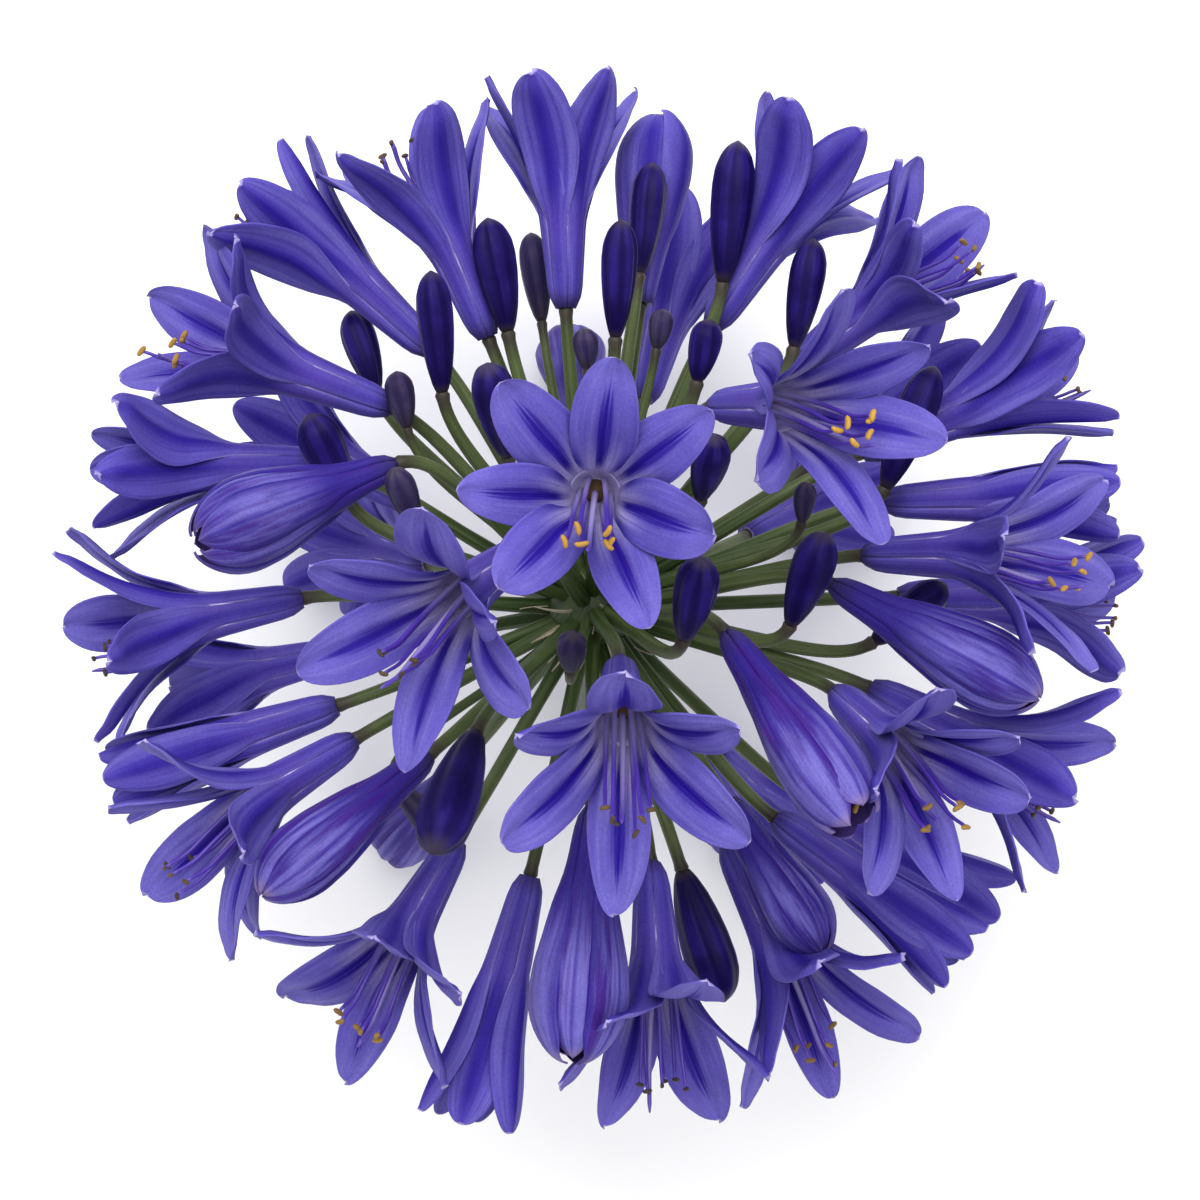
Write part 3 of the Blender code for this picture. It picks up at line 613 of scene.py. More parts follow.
def bend_sheet(flower, turn, line, half, bend, rise, thickness, sway, twist):
    """Outer and inner face of a blade whose cross sections are arcs of radius bend round its midline."""
    along, radius, slope = line
    radial = flower.radial(turn)
    sideways = flower.sideways(turn)
    out = radial * np.cos(slope) - flower.forward * np.sin(slope)
    middle = flower.base + flower.forward * along + radial * radius + sideways * sway
    side = sideways * np.cos(twist) + out * np.sin(twist)
    out = out * np.cos(twist) - sideways * np.sin(twist)
    angle = ACROSS * (half / bend)
    points = middle[:, None] + side[:, None] * (bend * np.sin(angle))[..., None]
    points = points - out[:, None] * (bend * (1 - np.cos(angle)))[..., None]
    normal = out[:, None] * np.cos(angle)[..., None] + side[:, None] * np.sin(angle)[..., None]
    points = points + normal * rise[..., None]
    skin = normal * (thickness / 2)[..., None]
    return points + skin, points - skin


def thin_edges(full):
    """Thickness of a blade over its grid: full in the middle and thin at its edges and tip."""
    return full * (1 - 0.55 * np.abs(ACROSS) ** 4) * (1 - 0.35 * ramp(ALONG, 0.85, 1.0))


def swung(flower, points, angles):
    """The rows of a blade, each turned round the flower's axis by its own angle."""
    away = points - flower.base
    ahead = (away @ flower.forward)[..., None] * flower.forward
    spoke = away - ahead
    angles = angles[..., None]
    turned = spoke * np.cos(angles) - np.cross(flower.forward, spoke) * np.sin(angles)
    return flower.base + ahead + turned


def open_tepal(shape, flower, number, tint):
    """One tepal of an open flower, with its groove, its waving edge and its hooked tip."""
    row = flower.row
    look = sizes()
    draw = flower.random.uniform(-1, 1, 8)
    inner = number % 2 == 0
    even = tuple((0, 4 * math.sin(5 * place + row.roll)) for place in range(row.tepals))
    strays = STRAYS.get(row.name, even)
    aside, wider = strays[number]
    before = strays[number - 1][1]
    after = strays[(number + 1) % row.tepals][1]
    spread = BENT_TEPALS.get((row.name, number), row.spread) + wider
    openness = float(np.clip((spread - 20) / 40, 0, 1))
    turn = number * math.tau / row.tepals + math.radians(row.roll)
    line = tepal_line(flower.size, spread, ALONG, draw[1] * 9 * openness)
    radius = line[1]
    lobe = ramp(ALONG, SPLIT - 0.03, SPLIT + 0.16)
    full = look.wide_tepal if inner else look.narrow_tepal
    half = lobe_half(full * (1 + 0.05 * draw[2]), radius * math.pi / row.tepals, 2.9 if inner else 2.1)
    bend = np.maximum(radius, half / 1.25) * (1 + 0.7 * openness * lobe)
    place = ACROSS * half
    groove = look.rib_depth * np.exp(-((place / (0.6 * MM)) ** 2)) * (lobe * (1 - ramp(ALONG, 0.86, 1.0)))
    flank = look.flank_swell * np.exp(-(((np.abs(ACROSS) - 0.5) / 0.28) ** 2)) * lobe
    recurve = 0.35 * MM * openness * np.abs(ACROSS) ** 4 * (lobe * (1 - ramp(ALONG, 0.75, 0.9)))
    cup = -0.7 * MM * ACROSS**2 * ramp(ALONG, 0.76, 0.97)
    swing = np.sin(math.tau * (1.3 * ALONG + draw[3] + 0.22 * np.sign(ACROSS)))
    wave = look.wave * (0.35 + 0.65 * openness) * ACROSS**2 * swing * (lobe * ramp(ALONG, 0.4, 0.7))
    hook = -0.9 * MM * ramp(ALONG, 0.93, 1.0) * (0.3 + 0.7 * openness)
    lead = wider - (before + after) / 2 + (-4 if inner else 4)
    whorl = look.whorl_step * 0.5 * float(np.clip(lead / 4, -1, 1)) * lobe
    suture = -0.22 * MM * np.abs(ACROSS) ** 6 * (1 - lobe)
    rise = groove - flank + recurve + cup + wave + hook + whorl + suture
    share = ramp(ALONG, 0.45, 1.0)
    sway = draw[4] * 1.1 * MM * openness * share
    twist = math.radians(9) * draw[5] * openness * share
    thickness = thin_edges(look.tepal_thickness)
    outer, inside = bend_sheet(flower, turn, line, half, bend, rise, thickness, sway, twist)
    swing = math.radians(aside) * ramp(ALONG, SPLIT - 0.06, 0.66)
    shape.sheet(swung(flower, outer, swing), swung(flower, inside, swing), ACROSS, ALONG, tint)


def stamen_line(flower, number, reach, steps):
    """Middle line of a stamen: out of the tube, sagging with its weight, and turned up at its end."""
    turn = (number + 0.5) * math.tau / STAMENS + math.radians(flower.row.roll)
    draw = flower.random.uniform(-1, 1, 4)
    begin = 0.28 * flower.size
    end = flower.size * 0.84 * reach * (1 + 0.09 * draw[0])
    fan = (2.4 + 1.9 * (1 + 0.5 * draw[1]) * steps * reach) * MM
    lift = (2.4 - 0.2 * steps * reach) * MM
    droop = (6.4 + 1.2 * draw[2]) * MM * reach * steps**1.8
    upturn = 2.4 * MM * reach * ramp(steps, 0.74, 1.05) ** 1.5
    line = flower.ahead(begin + (end - begin) * steps)
    line = line + flower.right * (math.sin(turn) * fan + 0.7 * MM * draw[3] * steps**2)[:, None]
    return line + flower.up * (math.cos(turn) * lift - droop + upturn)[:, None]


def style_line(flower, reach, steps):
    """Middle line of the style: from the top of the ovary, over the lower tepals like a stamen."""
    line = stamen_line(flower, STAMENS / 2 - 0.5, reach * 1.04, steps)
    root = flower.base + flower.forward * 0.34 * flower.size
    return line + (root - line[0]) * ((1 - steps) ** 2)[:, None]


def add_anther(shape, place, along, tint, length, random):
    """A plump anther with a slit, hung by its middle across the end of its filament."""
    lie = unit(np.cross(along, random.normal(size=3)))
    lie = unit(lie + 0.35 * along * random.uniform(-1, 1))
    steps = np.linspace(-1, 1, 11)
    girth = 0.23 * length * np.sqrt(np.clip(1 - np.abs(steps) ** 3, 0.02, 1))
    bow = unit(np.cross(lie, along))
    line = place + lie * (steps * length / 2)[:, None] + bow * (0.12 * length * steps**2)[:, None]
    turn = np.arange(ANTHER_SIDES) * math.tau / ANTHER_SIDES
    slit = -0.34 * np.exp(-((np.minimum(turn, math.tau - turn) / 0.45) ** 2))
    slit = slit - 0.16 * np.exp(-(((turn - math.pi) / 0.4) ** 2))
    shape.tube(line, girth, ANTHER_SIDES, tint=tint, spoke=bow, bumps=np.tile(slit, (len(steps), 1)))


def resting_slide(row, build):
    """How far along its stalk a resting flower slides until its lowest point meets the surface."""
    slid = 0.0
    direction = aim(row.clock, row.lean)
    for _ in range(SLIDE_ROUNDS):
        shape = Shape()
        build(shape, Flower(row, slid))
        lowest = min(points[:, 2].min() for points in shape.points)
        slid -= lowest / direction[2]
    return slid


def add_throat(shape, flower, tint):
    """The pale funnel that closes the tube just below the lobes."""
    radius = tepal_line(flower.size, flower.row.spread, ALONG)[1]
    wall = np.interp(THROAT_DEPTH, ALONG[:, 0], radius[:, 0]) - THROAT_INSET
    line = flower.ahead(flower.size * THROAT_DEPTH)
    shape.tube(line, wall * THROAT_GIRTH, THROAT_SIDES, THROAT_DEPTH, tint, axis=flower.forward)
    count = len(shape.points[-1])
    shape.values["across"][-1] = np.full(count, 0.5)
    shape.values["inner"][-1] = np.ones(count)


def open_flower(shape, flower):
    tint = flower.random.uniform(-1, 1)
    for number in range(flower.row.tepals):
        open_tepal(shape, flower, number, tint)
    if flower.row.pollen is not None:
        add_throat(shape, flower, tint)


def shut_tepal(shape, flower, number, tint, mouth):
    """One folded tepal of a closed flower: creased, hugging its neighbours, and rounded in at its tip."""
    row = flower.row
    look = sizes()
    draw = flower.random.uniform(-1, 1, 8)
    inner = number % 2 == 0
    half_girth = row.width * MM / 2
    neck = min(TUBE_RADIUS, half_girth * 0.6)
    turn = number * math.tau / FOLDS
    along = ALONG * (flower.size * (0.98 + 0.02 * draw[0]))
    balloon = row.name in BALLOONS
    closing = 1 - np.sqrt(1 - np.clip((ALONG - CLOSING) / (1 - CLOSING), 0, 1) ** 2)
    girth = neck + (half_girth - neck) * soft(ALONG, BALLOON_FORM if balloon else SHUT_FORM)
    radius = girth * (1 - closing) + (0.2 * MM + mouth * (1 + 0.25 * draw[1])) * closing
    slope = np.arctan2(np.gradient(radius, axis=0), np.gradient(along, axis=0))
    lobe = ramp(ALONG, 0.26, 0.42)
    wrap = 1 + (0.55 if inner else 0.42) * lobe
    rounding = 1 - np.sqrt(1 - np.clip((ALONG - ROUNDING) / (1 - ROUNDING), 0, 1) ** 2.4)
    rounded = 1 - rounding * min(1.0, mouth / (0.8 * MM))
    half = np.maximum(radius * math.pi / FOLDS * wrap * rounded, LEAST_HALF)
    drift = 1.4 * np.sin(math.tau * (0.8 * ALONG + draw[2]))
    creases = np.sin(ACROSS * 4.2 + drift + draw[3] * 3)
    creases = creases + 0.3 * np.sin(ACROSS * 9 - 1.7 * drift + draw[4] * 3)
    depth = look.wrinkle * (0.15 if balloon else 1.0)
    crease = depth * creases * (ramp(ALONG, 0.2, 0.5) * (1 - 0.6 * ramp(ALONG, 0.86, 1)))
    crease = crease * (1 - 0.8 * np.abs(ACROSS) ** 3)
    fading = 1 - 0.8 * ramp(ALONG, 0.76, 0.98)
    hug = -look.hug * (0.4 if inner else 1.0) * np.abs(ACROSS) ** 4 * (lobe * fading)
    rib = look.wrinkle * 0.5 * np.exp(-((ACROSS / 0.14) ** 2)) * lobe
    whorl = look.whorl_step * (-0.5 if inner else 0.5) * (lobe * fading)
    suture = -0.2 * MM * np.abs(ACROSS) ** 6 * (1 - lobe)
    twist = math.radians(3) * draw[6] * ramp(ALONG, 0.5, 1.0)
    rise = crease + hug + rib + whorl + suture
    thickness = thin_edges(look.tepal_thickness) * (1 - 0.4 * ramp(ALONG, 0.84, 1.0))
    line = (along, radius, slope)
    outer, inside = bend_sheet(flower, turn, line, half, radius, rise, thickness, 0.0, twist)
    shape.sheet(outer, inside, ACROSS, ALONG, tint)


def shut_flower(shape, flower):
    tint = flower.random.uniform(-1, 1)
    mouth = MOUTHS.get(flower.row.name, 0.0) * MM
    for number in range(FOLDS):
        shut_tepal(shape, flower, number, tint, mouth)


def add_bud(shape, flower):
    """A closed bud: six tepals meet in grooves and close to a blunt point."""
    tint = flower.random.uniform(-1, 1)
    steps = np.linspace(0, 1, 34) ** 0.9
    girth = flower.row.width * MM / 2 * soft(steps, BUD_FORM, 0.025)
    girth[-1] = LEAST_HALF
    turn = np.arange(BUD_SIDES)[None, :] * math.tau / BUD_SIDES + 0.25 * steps[:, None]
    meeting = np.abs(np.sin(3 * turn))
    phase = flower.random.uniform(0, 6, 2)
    uneven = 0.025 * np.cos(9 * turn + phase[0]) + 0.03 * np.cos(2 * turn + phase[1])
    bumps = -0.08 * meeting**4 * ramp(steps, 0.04, 0.2)[:, None] + uneven
    line = flower.ahead(steps * flower.size)
    shape.tube(line, girth, BUD_SIDES, steps, tint, spoke=flower.up, bumps=bumps)
    shape.values["across"][-1] = np.append(np.sin(3 * turn), (0.0, 0.0))


def stalk_points(flower, steps):
    """Middle line of a stalk: a cubic curve out of the knob, and round to the way its flower faces."""
    outward = unit(flower.stalk_end - HUB)
    length = np.linalg.norm(flower.stalk_end - HUB)
    start = HUB + outward * HUB_RADIUS * 0.3
    lead = start + outward * (length - STALK_END_RUN) * 0.6
    trail = flower.stalk_end - flower.forward * STALK_END_RUN
    end = flower.stalk_end + flower.forward * STALK_OVERLAP
    t = steps[:, None]
    s = 1 - t
    return start * s**3 + lead * 3 * s * s * t + trail * 3 * s * t * t + end * t**3


class Nodes:
    """Short ways to lay out a shader's nodes."""

    def __init__(self, tree):
        self.tree = tree

    def add(self, kind, inputs=(), **settings):
        """A node with its settings, and with links or plain values in its inputs."""
        made = self.tree.nodes.new(kind)
        for label, value in settings.items():
            setattr(made, label, value)
        for label, value in dict(inputs).items():
            if isinstance(value, bpy.types.NodeSocket):
                self.link(value, made.inputs[label])
            else:
                made.inputs[label].default_value = value
        return made

    def value(self, name):
        return self.add("ShaderNodeAttribute", attribute_name=name).outputs["Fac"]

    def math(self, operation, first, second=0):
        return self.add("ShaderNodeMath", {0: first, 1: second}, operation=operation).outputs[0]

    def times(self, first, *others):
        for other in others:
            first = self.math("MULTIPLY", first, other)
        return first

    def fit(self, value, low, high, to_low=0, to_high=1):
        sockets = {"Value": value, "From Min": low, "From Max": high, "To Min": to_low, "To Max": to_high}
        return self.add("ShaderNodeMapRange", sockets, interpolation_type="SMOOTHSTEP").outputs["Result"]

    def mix(self, factor, first, second, blend="MIX"):
        sockets = {0: factor, 6: full_colour(first), 7: full_colour(second)}
        return self.add("ShaderNodeMix", sockets, data_type="RGBA", blend_type=blend).outputs[2]

    def noise(self, vector, scale, detail=2, roughness=0.5):
        sockets = {"Vector": vector, "Scale": scale, "Detail": detail, "Roughness": roughness}
        return self.add("ShaderNodeTexNoise", sockets).outputs["Fac"]

    def place(self):
        return self.add("ShaderNodeTexCoord").outputs["Object"]

    def group(self, tree, inputs):
        return self.add("ShaderNodeGroup", inputs, node_tree=tree).outputs

    def link(self, source, target):
        self.tree.links.new(source, target)


class Skin(Nodes):
    """A material with the values that its mesh holds and the grain of plant skin. Grain holds the size of
    its cells, and how strongly its cells and its larger blotches shade it."""

    def __init__(self, name, *grain):
        self.material = bpy.data.materials.new(name)
        self.material.use_nodes = True
        super().__init__(self.material.node_tree)
        self.shader = self.tree.nodes["Principled BSDF"].inputs
        if grain:
            given = dict(zip(("Cell Size", "Cell Shade", "Blotch Shade"), grain))
            self.grain = self.group(skin_group(), given)

    @cached_property
    def across(self):
        return self.value("across")

    @cached_property
    def along(self):
        return self.value("along")

    @cached_property
    def tint(self):
        return self.value("tint")

    @cached_property
    def aside(self):
        return self.math("ABSOLUTE", self.across)

    def layers(self, colour, *layers):
        """A colour with others laid over it, each by its own share."""
        for share, over in layers:
            colour = self.mix(share, colour, over)
        return colour

    def veins(self, lines, run, seed):
        given = {"Across": self.across, "Along": self.along, "Lines": lines, "Run": run, "Seed": seed}
        return self.group(vein_group(), given)["Vein"]

    def relief(self, vein, vein_share, grain_share):
        """Height of the veins and the cells together."""
        cells = self.times(self.grain["Height"], grain_share)
        return self.math("ADD", self.times(vein, vein_share), cells)

    def bump(self, height, depth, strength):
        sockets = {"Height": height, "Distance": depth, "Strength": strength}
        self.link(self.add("ShaderNodeBump", sockets).outputs[0], self.shader["Normal"])

    def finish(self, colour, roughness, specular=0.5):
        """The material, with the grain's light and dark in its colour."""
        shade = self.grain["Shade"]
        grey = self.add("ShaderNodeCombineColor", {0: shade, 1: shade, 2: shade}).outputs[0]
        self.link(self.mix(1, colour, grey, "MULTIPLY"), self.shader["Base Color"])
        self.shader["Roughness"].default_value = roughness
        self.shader["Specular IOR Level"].default_value = specular
        return self.material


def full_colour(value):
    """A colour socket as it is, or a plain colour with its alpha."""
    return value if isinstance(value, bpy.types.NodeSocket) else (*value, 1)


def new_group(name, inputs, outputs):
    tree = bpy.data.node_groups.new(name, "ShaderNodeTree")
    for label, default in inputs:
        socket = tree.interface.new_socket(name=label, in_out="INPUT", socket_type="NodeSocketFloat")
        socket.default_value = default
    for label in outputs:
        tree.interface.new_socket(name=label, in_out="OUTPUT", socket_type="NodeSocketFloat")
    nodes = Nodes(tree)
    return nodes, nodes.add("NodeGroupInput").outputs, nodes.add("NodeGroupOutput").inputs


def skin_group():
    """Fine cells and soft blotches of plant skin. Shade is near 1 all over, and Height is for bumps."""
    if "Plant Skin" in bpy.data.node_groups:
        return bpy.data.node_groups["Plant Skin"]
    inputs = (("Cell Size", 0.00035), ("Cell Shade", 0.1), ("Blotch Shade", 0.1))
    nodes, given, taken = new_group("Plant Skin", inputs, ("Shade", "Height"))
    place = nodes.place()
    cells = nodes.noise(place, nodes.math("DIVIDE", 1, given["Cell Size"]), 2, 0.6)
    blotches = nodes.noise(place, BLOTCHES_PER_METRE, 3, 0.55)
    fine = nodes.times(nodes.math("SUBTRACT", cells, 0.5), given["Cell Shade"])
    broad = nodes.times(nodes.math("SUBTRACT", blotches, 0.5), given["Blotch Shade"])
    nodes.link(nodes.math("ADD", nodes.times(nodes.math("ADD", fine, broad), 2), 1), taken["Shade"])
    nodes.link(cells, taken["Height"])
    return nodes.tree


def vein_group():
    """Fine lines that run lengthwise over a blade or a stalk, from 0 to 1."""
    if "Lengthwise Veins" in bpy.data.node_groups:
        return bpy.data.node_groups["Lengthwise Veins"]
    inputs = (("Across", 0), ("Along", 0), ("Lines", 14), ("Run", 2), ("Seed", 0))
    nodes, given, taken = new_group("Lengthwise Veins", inputs, ("Vein",))
    across = nodes.times(given["Across"], given["Lines"])
    along = nodes.times(given["Along"], given["Run"])
    spot = nodes.add("ShaderNodeCombineXYZ", {0: across, 1: along, 2: given["Seed"]}).outputs[0]
    nodes.link(nodes.fit(nodes.noise(spot, 1, 3, 0.6), 0.32, 0.68), taken["Vein"])
    return nodes.tree


def petal_material():
    """Violet-blue tepal: dark stripe, pale flanks, lilac throat, and pale seams outside on the tube, with
    painted shade where neighbouring lobes meet and a painted highlight along the margins near the tip.
    """
    look = colours()
    skin = Skin("tepal_skin", 0.45 * MM, 0.3, 0.24)
    along, aside, times, fit, mix = skin.along, skin.aside, skin.times, skin.fit, skin.mix
    seed = times(skin.tint, 9)
    fine = skin.veins(12, 1.6, seed)
    broad = skin.veins(3, 1.8, seed)
    brush = skin.veins(6.5, 1.2, seed)

    width = times(fit(along, 0.36, 0.66, 0.12, 0.3), fit(along, 0.72, 0.97, 1, 0.15))
    wander = times(skin.math("SUBTRACT", fine, 0.5), 0.14)
    stripe = fit(skin.math("DIVIDE", skin.math("ADD", aside, wander), width), 0.1, 1.1, 1, 0)
    stripe = times(stripe, times(fit(along, 0.36, 0.54, 0.4, 1), fit(along, 0.84, 0.97, 1, 0)))
    flank = times(fit(aside, 0.18, 0.5), fit(aside, 0.62, 1, 1, 0.45), fit(broad, 0, 1, 0.25, 0.85))
    pale = skin.math("MAXIMUM", flank, fit(along, 0.74, 0.98, 0, 0.6))
    brushed = times(fit(brush, 0.7, 0), fit(along, 0.4, 0.95, 0.34, 0.1))
    ray = times(fit(aside, 0.08, 0.26), fit(aside, 0.46, 0.82, 1, 0), fit(along, 0.34, 0.72, 1, 0))
    # Painted shade: the margins darken near the lobe bases, where neighbouring lobes meet and shade each
    # other
    edge = times(fit(aside, 0.62, 0.9), fit(along, 0.48, 0.68, 0.7, 0), fit(along, 0.38, 0.5))
    throat = mix(times(fine, 0.35), look.petal_throat, look.petal)
    face = skin.layers(
        look.petal,
        (pale, look.petal_pale_and_highlight),
        (brushed, look.petal_stripe_and_shade),
        (times(ray, fit(fine, 0, 1, 0.55, 1)), look.petal_throat),
        (edge, look.petal_stripe_and_shade),
        (times(stripe, 0.95), look.petal_stripe_and_shade),
        (fit(along, 0.34, 0.52, 1, 0), throat),
        # Painted highlight: a pale rim along the tepal margins towards the tip
        (times(fit(aside, 0.93, 1), fit(along, 0.5, 0.7, 0, 0.4)), look.petal_pale_and_highlight),
    )

    glow = times(fit(aside, 0.2, 0.75), fit(broad, 0.1, 0.9, 0.3, 1), 0.6)
    keel = times(fit(aside, 0.04, 0.42, 1, 0), fit(along, 0.3, 0.55, 0.15, 0.75))
    blush = times(fit(along, 0.1, 0.3), fit(along, 0.34, 0.5, 0.35, 0), broad)
    seam = times(fit(aside, 0.84, 1), fit(along, 0.12, 0.24, 0, 0.5), fit(along, 0.38, 0.52, 1, 0))
    back = skin.layers(
        look.petal_back,
        (glow, look.petal_pale_and_highlight),
        (fit(brush, 0.55, 0, 0, 0.3), look.petal_stripe_and_shade),
        (times(keel, fit(along, 0.85, 1, 1, 0.3)), look.petal_stripe_and_shade),
        (blush, look.petal_blush),
        (times(seam, fine), look.petal_throat),
        (fit(along, 0, 0.1, 0.7, 0), look.petal_base),
    )

    colour = skin.layers(
        back,
        (skin.value("inner"), face),
        (fit(along, 0.992, 1, 0, 0.6), look.petal_tip),
        (fit(skin.tint, -1, 1, 0.2, 0), look.petal_back),
    )
    skin.bump(skin.relief(fine, 0.4, 0.35), 0.18 * MM, 0.45)
    return skin.finish(colour, 0.5, 0.07)


def spent_material():
    """Closed and fading tepals: deep violet with purple streaks, pale raised lines and dry tips, with a
    painted highlight on their swollen parts and painted shade along their overlapping edges.
    """
    look = colours()
    skin = Skin("folded_skin", 0.5 * MM, 0.3, 0.3)
    along, aside, times, fit, mix = skin.along, skin.aside, skin.times, skin.fit, skin.mix
    seed = times(skin.tint, 7)
    fine = skin.veins(9, 2.4, seed)
    broad = skin.veins(1.5, 1.6, skin.math("ADD", seed, 4))

    # Painted highlight: paler in the middle of each folded tepal and on its swollen part, darker towards its
    # edges
    flank = times(fit(aside, 0, 0.16, 0.55, 1), fit(aside, 0.5, 0.92, 1, 0.1))
    swollen = times(fit(broad, 0.1, 0.9, 0.15, 1), fit(along, 0.3, 0.65, 0.05, 1))
    swollen = times(swollen, fit(flank, 0, 1, 0.1, 0.75))
    keel = times(fit(aside, 0.02, 0.1, 1, 0), fit(along, 0.25, 0.5, 0.15, 0.35))
    # Painted shade: dark lines along the tepal edges, where the folded tepals overlap
    overlap_shade = times(fit(aside, 0.86, 1), fit(along, 0.35, 0.5, 0, 0.45), fit(along, 0.8, 0.9, 1, 0))
    colour = skin.layers(
        look.spent,
        (swollen, look.petal_pale_and_highlight),
        (fit(broad, 0.4, 0, 0, 0.5), look.spent_streak),
        (times(fit(fine, 0.65, 1), fit(along, 0.25, 0.55, 0.05, 0.16)), look.petal_pale_and_highlight),
        (times(fit(fine, 0.35, 0.05), fit(along, 0.2, 0.5, 0.1, 0.4)), look.spent_streak),
        (keel, look.petal_stripe_and_shade),
        (fit(along, 0, 0.16, 0.85, 0), look.petal_base),
        (overlap_shade, look.petal_stripe_and_shade),
        (times(fit(along, 0.95, 1), fit(broad, 0.3, 0.8, 0.1, 0.6)), look.spent_tip),
        (skin.value("inner"), mix(0.4, look.spent_streak, look.petal_pale_and_highlight)),
    )

    skin.bump(skin.relief(fine, 0.7, 0.3), 0.2 * MM, 0.4)
    material = skin.finish(colour, 0.45, 0.1)
    skin.link(fit(fine, 0, 1, 0.5, 0.38), skin.shader["Roughness"])
    return material


def bud_material(name, green):
    """Smooth bud: painted shade in its grooves, a painted highlight on its ridges, dull at its foot. Green
    is the green's share.
    """
    look = colours()
    skin = Skin(name, 0.5 * MM, 0.12, 0.25)
    along, times, fit = skin.along, skin.times, skin.fit
    fine = skin.veins(7, 2, times(skin.tint, 6))
    cloud = skin.noise(skin.place(), CLOUDS_PER_METRE, 2)
    # Painted highlight on the ridges in cloudy patches; the grooves keep the dark bud colour as painted
    # shade
    lit = times(fit(cloud, 0.3, 0.65, 0.3, 1), fit(fine, 0, 1, 0.7, 1))
    ridge_highlight = times(fit(skin.aside, 1, 0.45, 0.3, 1), lit)
    body = skin.layers(
        look.bud,
        (ridge_highlight, look.bud_ridge_highlight),
        (fit(along, 0.1, 0.45, 0.85, 0), look.bud),
        (fit(along, 0.9, 1, 0, 0.5), look.bud_green),
        (fit(along, 0, 0.1, 0.8, 0), look.stalk_end),
    )
    if green:
        body = skin.mix(times(fit(ridge_highlight, 0, 1, 0.4, 1), green), body, look.bud_green)
    skin.bump(skin.relief(fine, 0.5, 0.3), 0.2 * MM, 0.3)
    return skin.finish(body, 0.45, 0.08)


def stalk_material():
    """Olive green stalk, deeper near the knob and brown under the flower, with fine lengthwise lines."""
    look = colours()
    skin = Skin("stalk_skin", 0.5 * MM, 0.22, 0.35)
    fine = skin.veins(3, 2, skin.times(skin.tint, 11))
    body = skin.layers(
        look.stalk_root,
        (skin.fit(skin.along, 0.15, 0.7), look.stalk),
        (skin.times(fine, 0.4), look.stalk_line),
        (skin.fit(skin.tint, -1, 1, 0, 0.35), look.stalk_root),
        (skin.fit(skin.along, 0.8, 0.97, 0, 0.85), look.stalk_end),
    )
    skin.bump(skin.relief(fine, 0.5, 0.4), 0.2 * MM, 0.5)
    return skin.finish(body, 0.42, 0.16)


def filament_material():
    """Filament and style: pale lilac in the throat, violet towards the end."""
    look = colours()
    skin = Skin("filament", 0.4 * MM, 0.1, 0.2)
    return skin.finish(skin.mix(skin.fit(skin.along, 0.05, 0.65), look.filament, look.filament_tip), 0.4)


def anther_material():
    """Anther: bright with pollen, or brown and spent, as its flower's age has it."""
    look = colours()
    skin = Skin("anther", 0.22 * MM, 0.35, 0.3)
    skin.bump(skin.grain["Height"], 0.15 * MM, 0.8)
    return skin.finish(skin.mix(skin.tint, look.pollen_spent, look.pollen), 0.7)


def scape_material():
    """Thick green scape with fine lines, and the pale wet pith of its cut end."""
    look = colours()
    skin = Skin("scape", 0.6 * MM, 0.16, 0.3)
    fine = skin.veins(9, 1.5, 2)
    body = skin.layers(
        look.stalk_root,
        (fine, look.stalk),
        (skin.fit(skin.along, 0, 0.25, 0.6, 0), look.stalk_root),
        (skin.fit(skin.along, 1, 1.15), look.pith),
    )
    skin.bump(fine, 0.2 * MM, 0.5)
    return skin.finish(body, 0.42)


def paper_material():
    """Dry, papery bracts."""
    look = colours()
    skin = Skin("paper", 0.5 * MM, 0.25, 0.4)
    body = skin.layers(
        look.paper,
        (skin.fit(skin.along, 0.3, 1, 0.1, 0.6), look.paper_end),
        (skin.times(skin.veins(5, 2, 1), 0.4), look.paper_line),
    )
    return skin.finish(body, 0.6)


def floor_material():
    look = bpy.context.scene.head_stage
    skin = Skin("floor")
    tone = skin.noise(skin.place(), TONES_PER_METRE, 2)
    lighter = tuple(min(1, part * 1.02) for part in look.floor)
    skin.link(skin.mix(tone, look.floor, lighter), skin.shader["Base Color"])
    skin.shader["Roughness"].default_value = 0.8
    return skin.material


def material_named(name, build, *given):
    """The material of this name, made the first time that it is asked for."""
    return bpy.data.materials.get(name) or build(*given)


def standing(rows, resting, build):
    """Flowers of a table, and of the resting table slid down to the surface."""
    return [Flower(row) for row in rows] + [Flower(row, resting_slide(row, build)) for row in resting]


def open_flowers():
    return standing(OPEN_BLOOMS, RESTING_OPEN, open_flower)


def closed_flowers():
    return standing(SHUT_BLOOMS, RESTING_SHUT, shut_flower)


def add_piece(build, flower, prefix, material, slot, node):
    """One flower or bud as a piece of its own."""
    shape = Shape()
    build(shape, flower)
    shape.make(f"{prefix}_{flower.row.name}", material, slot, node)


class HEAD_OT_open_flowers(bpy.types.Operator):
    """Add the tepals of every open flower"""

    bl_idname = "head.open_flowers"
    bl_label = "Open Flowers"

    def execute(self, context):
        material = material_named("tepal_skin", petal_material)
        for flower in open_flowers():
            add_piece(open_flower, flower, "petals", material, "petal", flower.row.name)
        return {"FINISHED"}


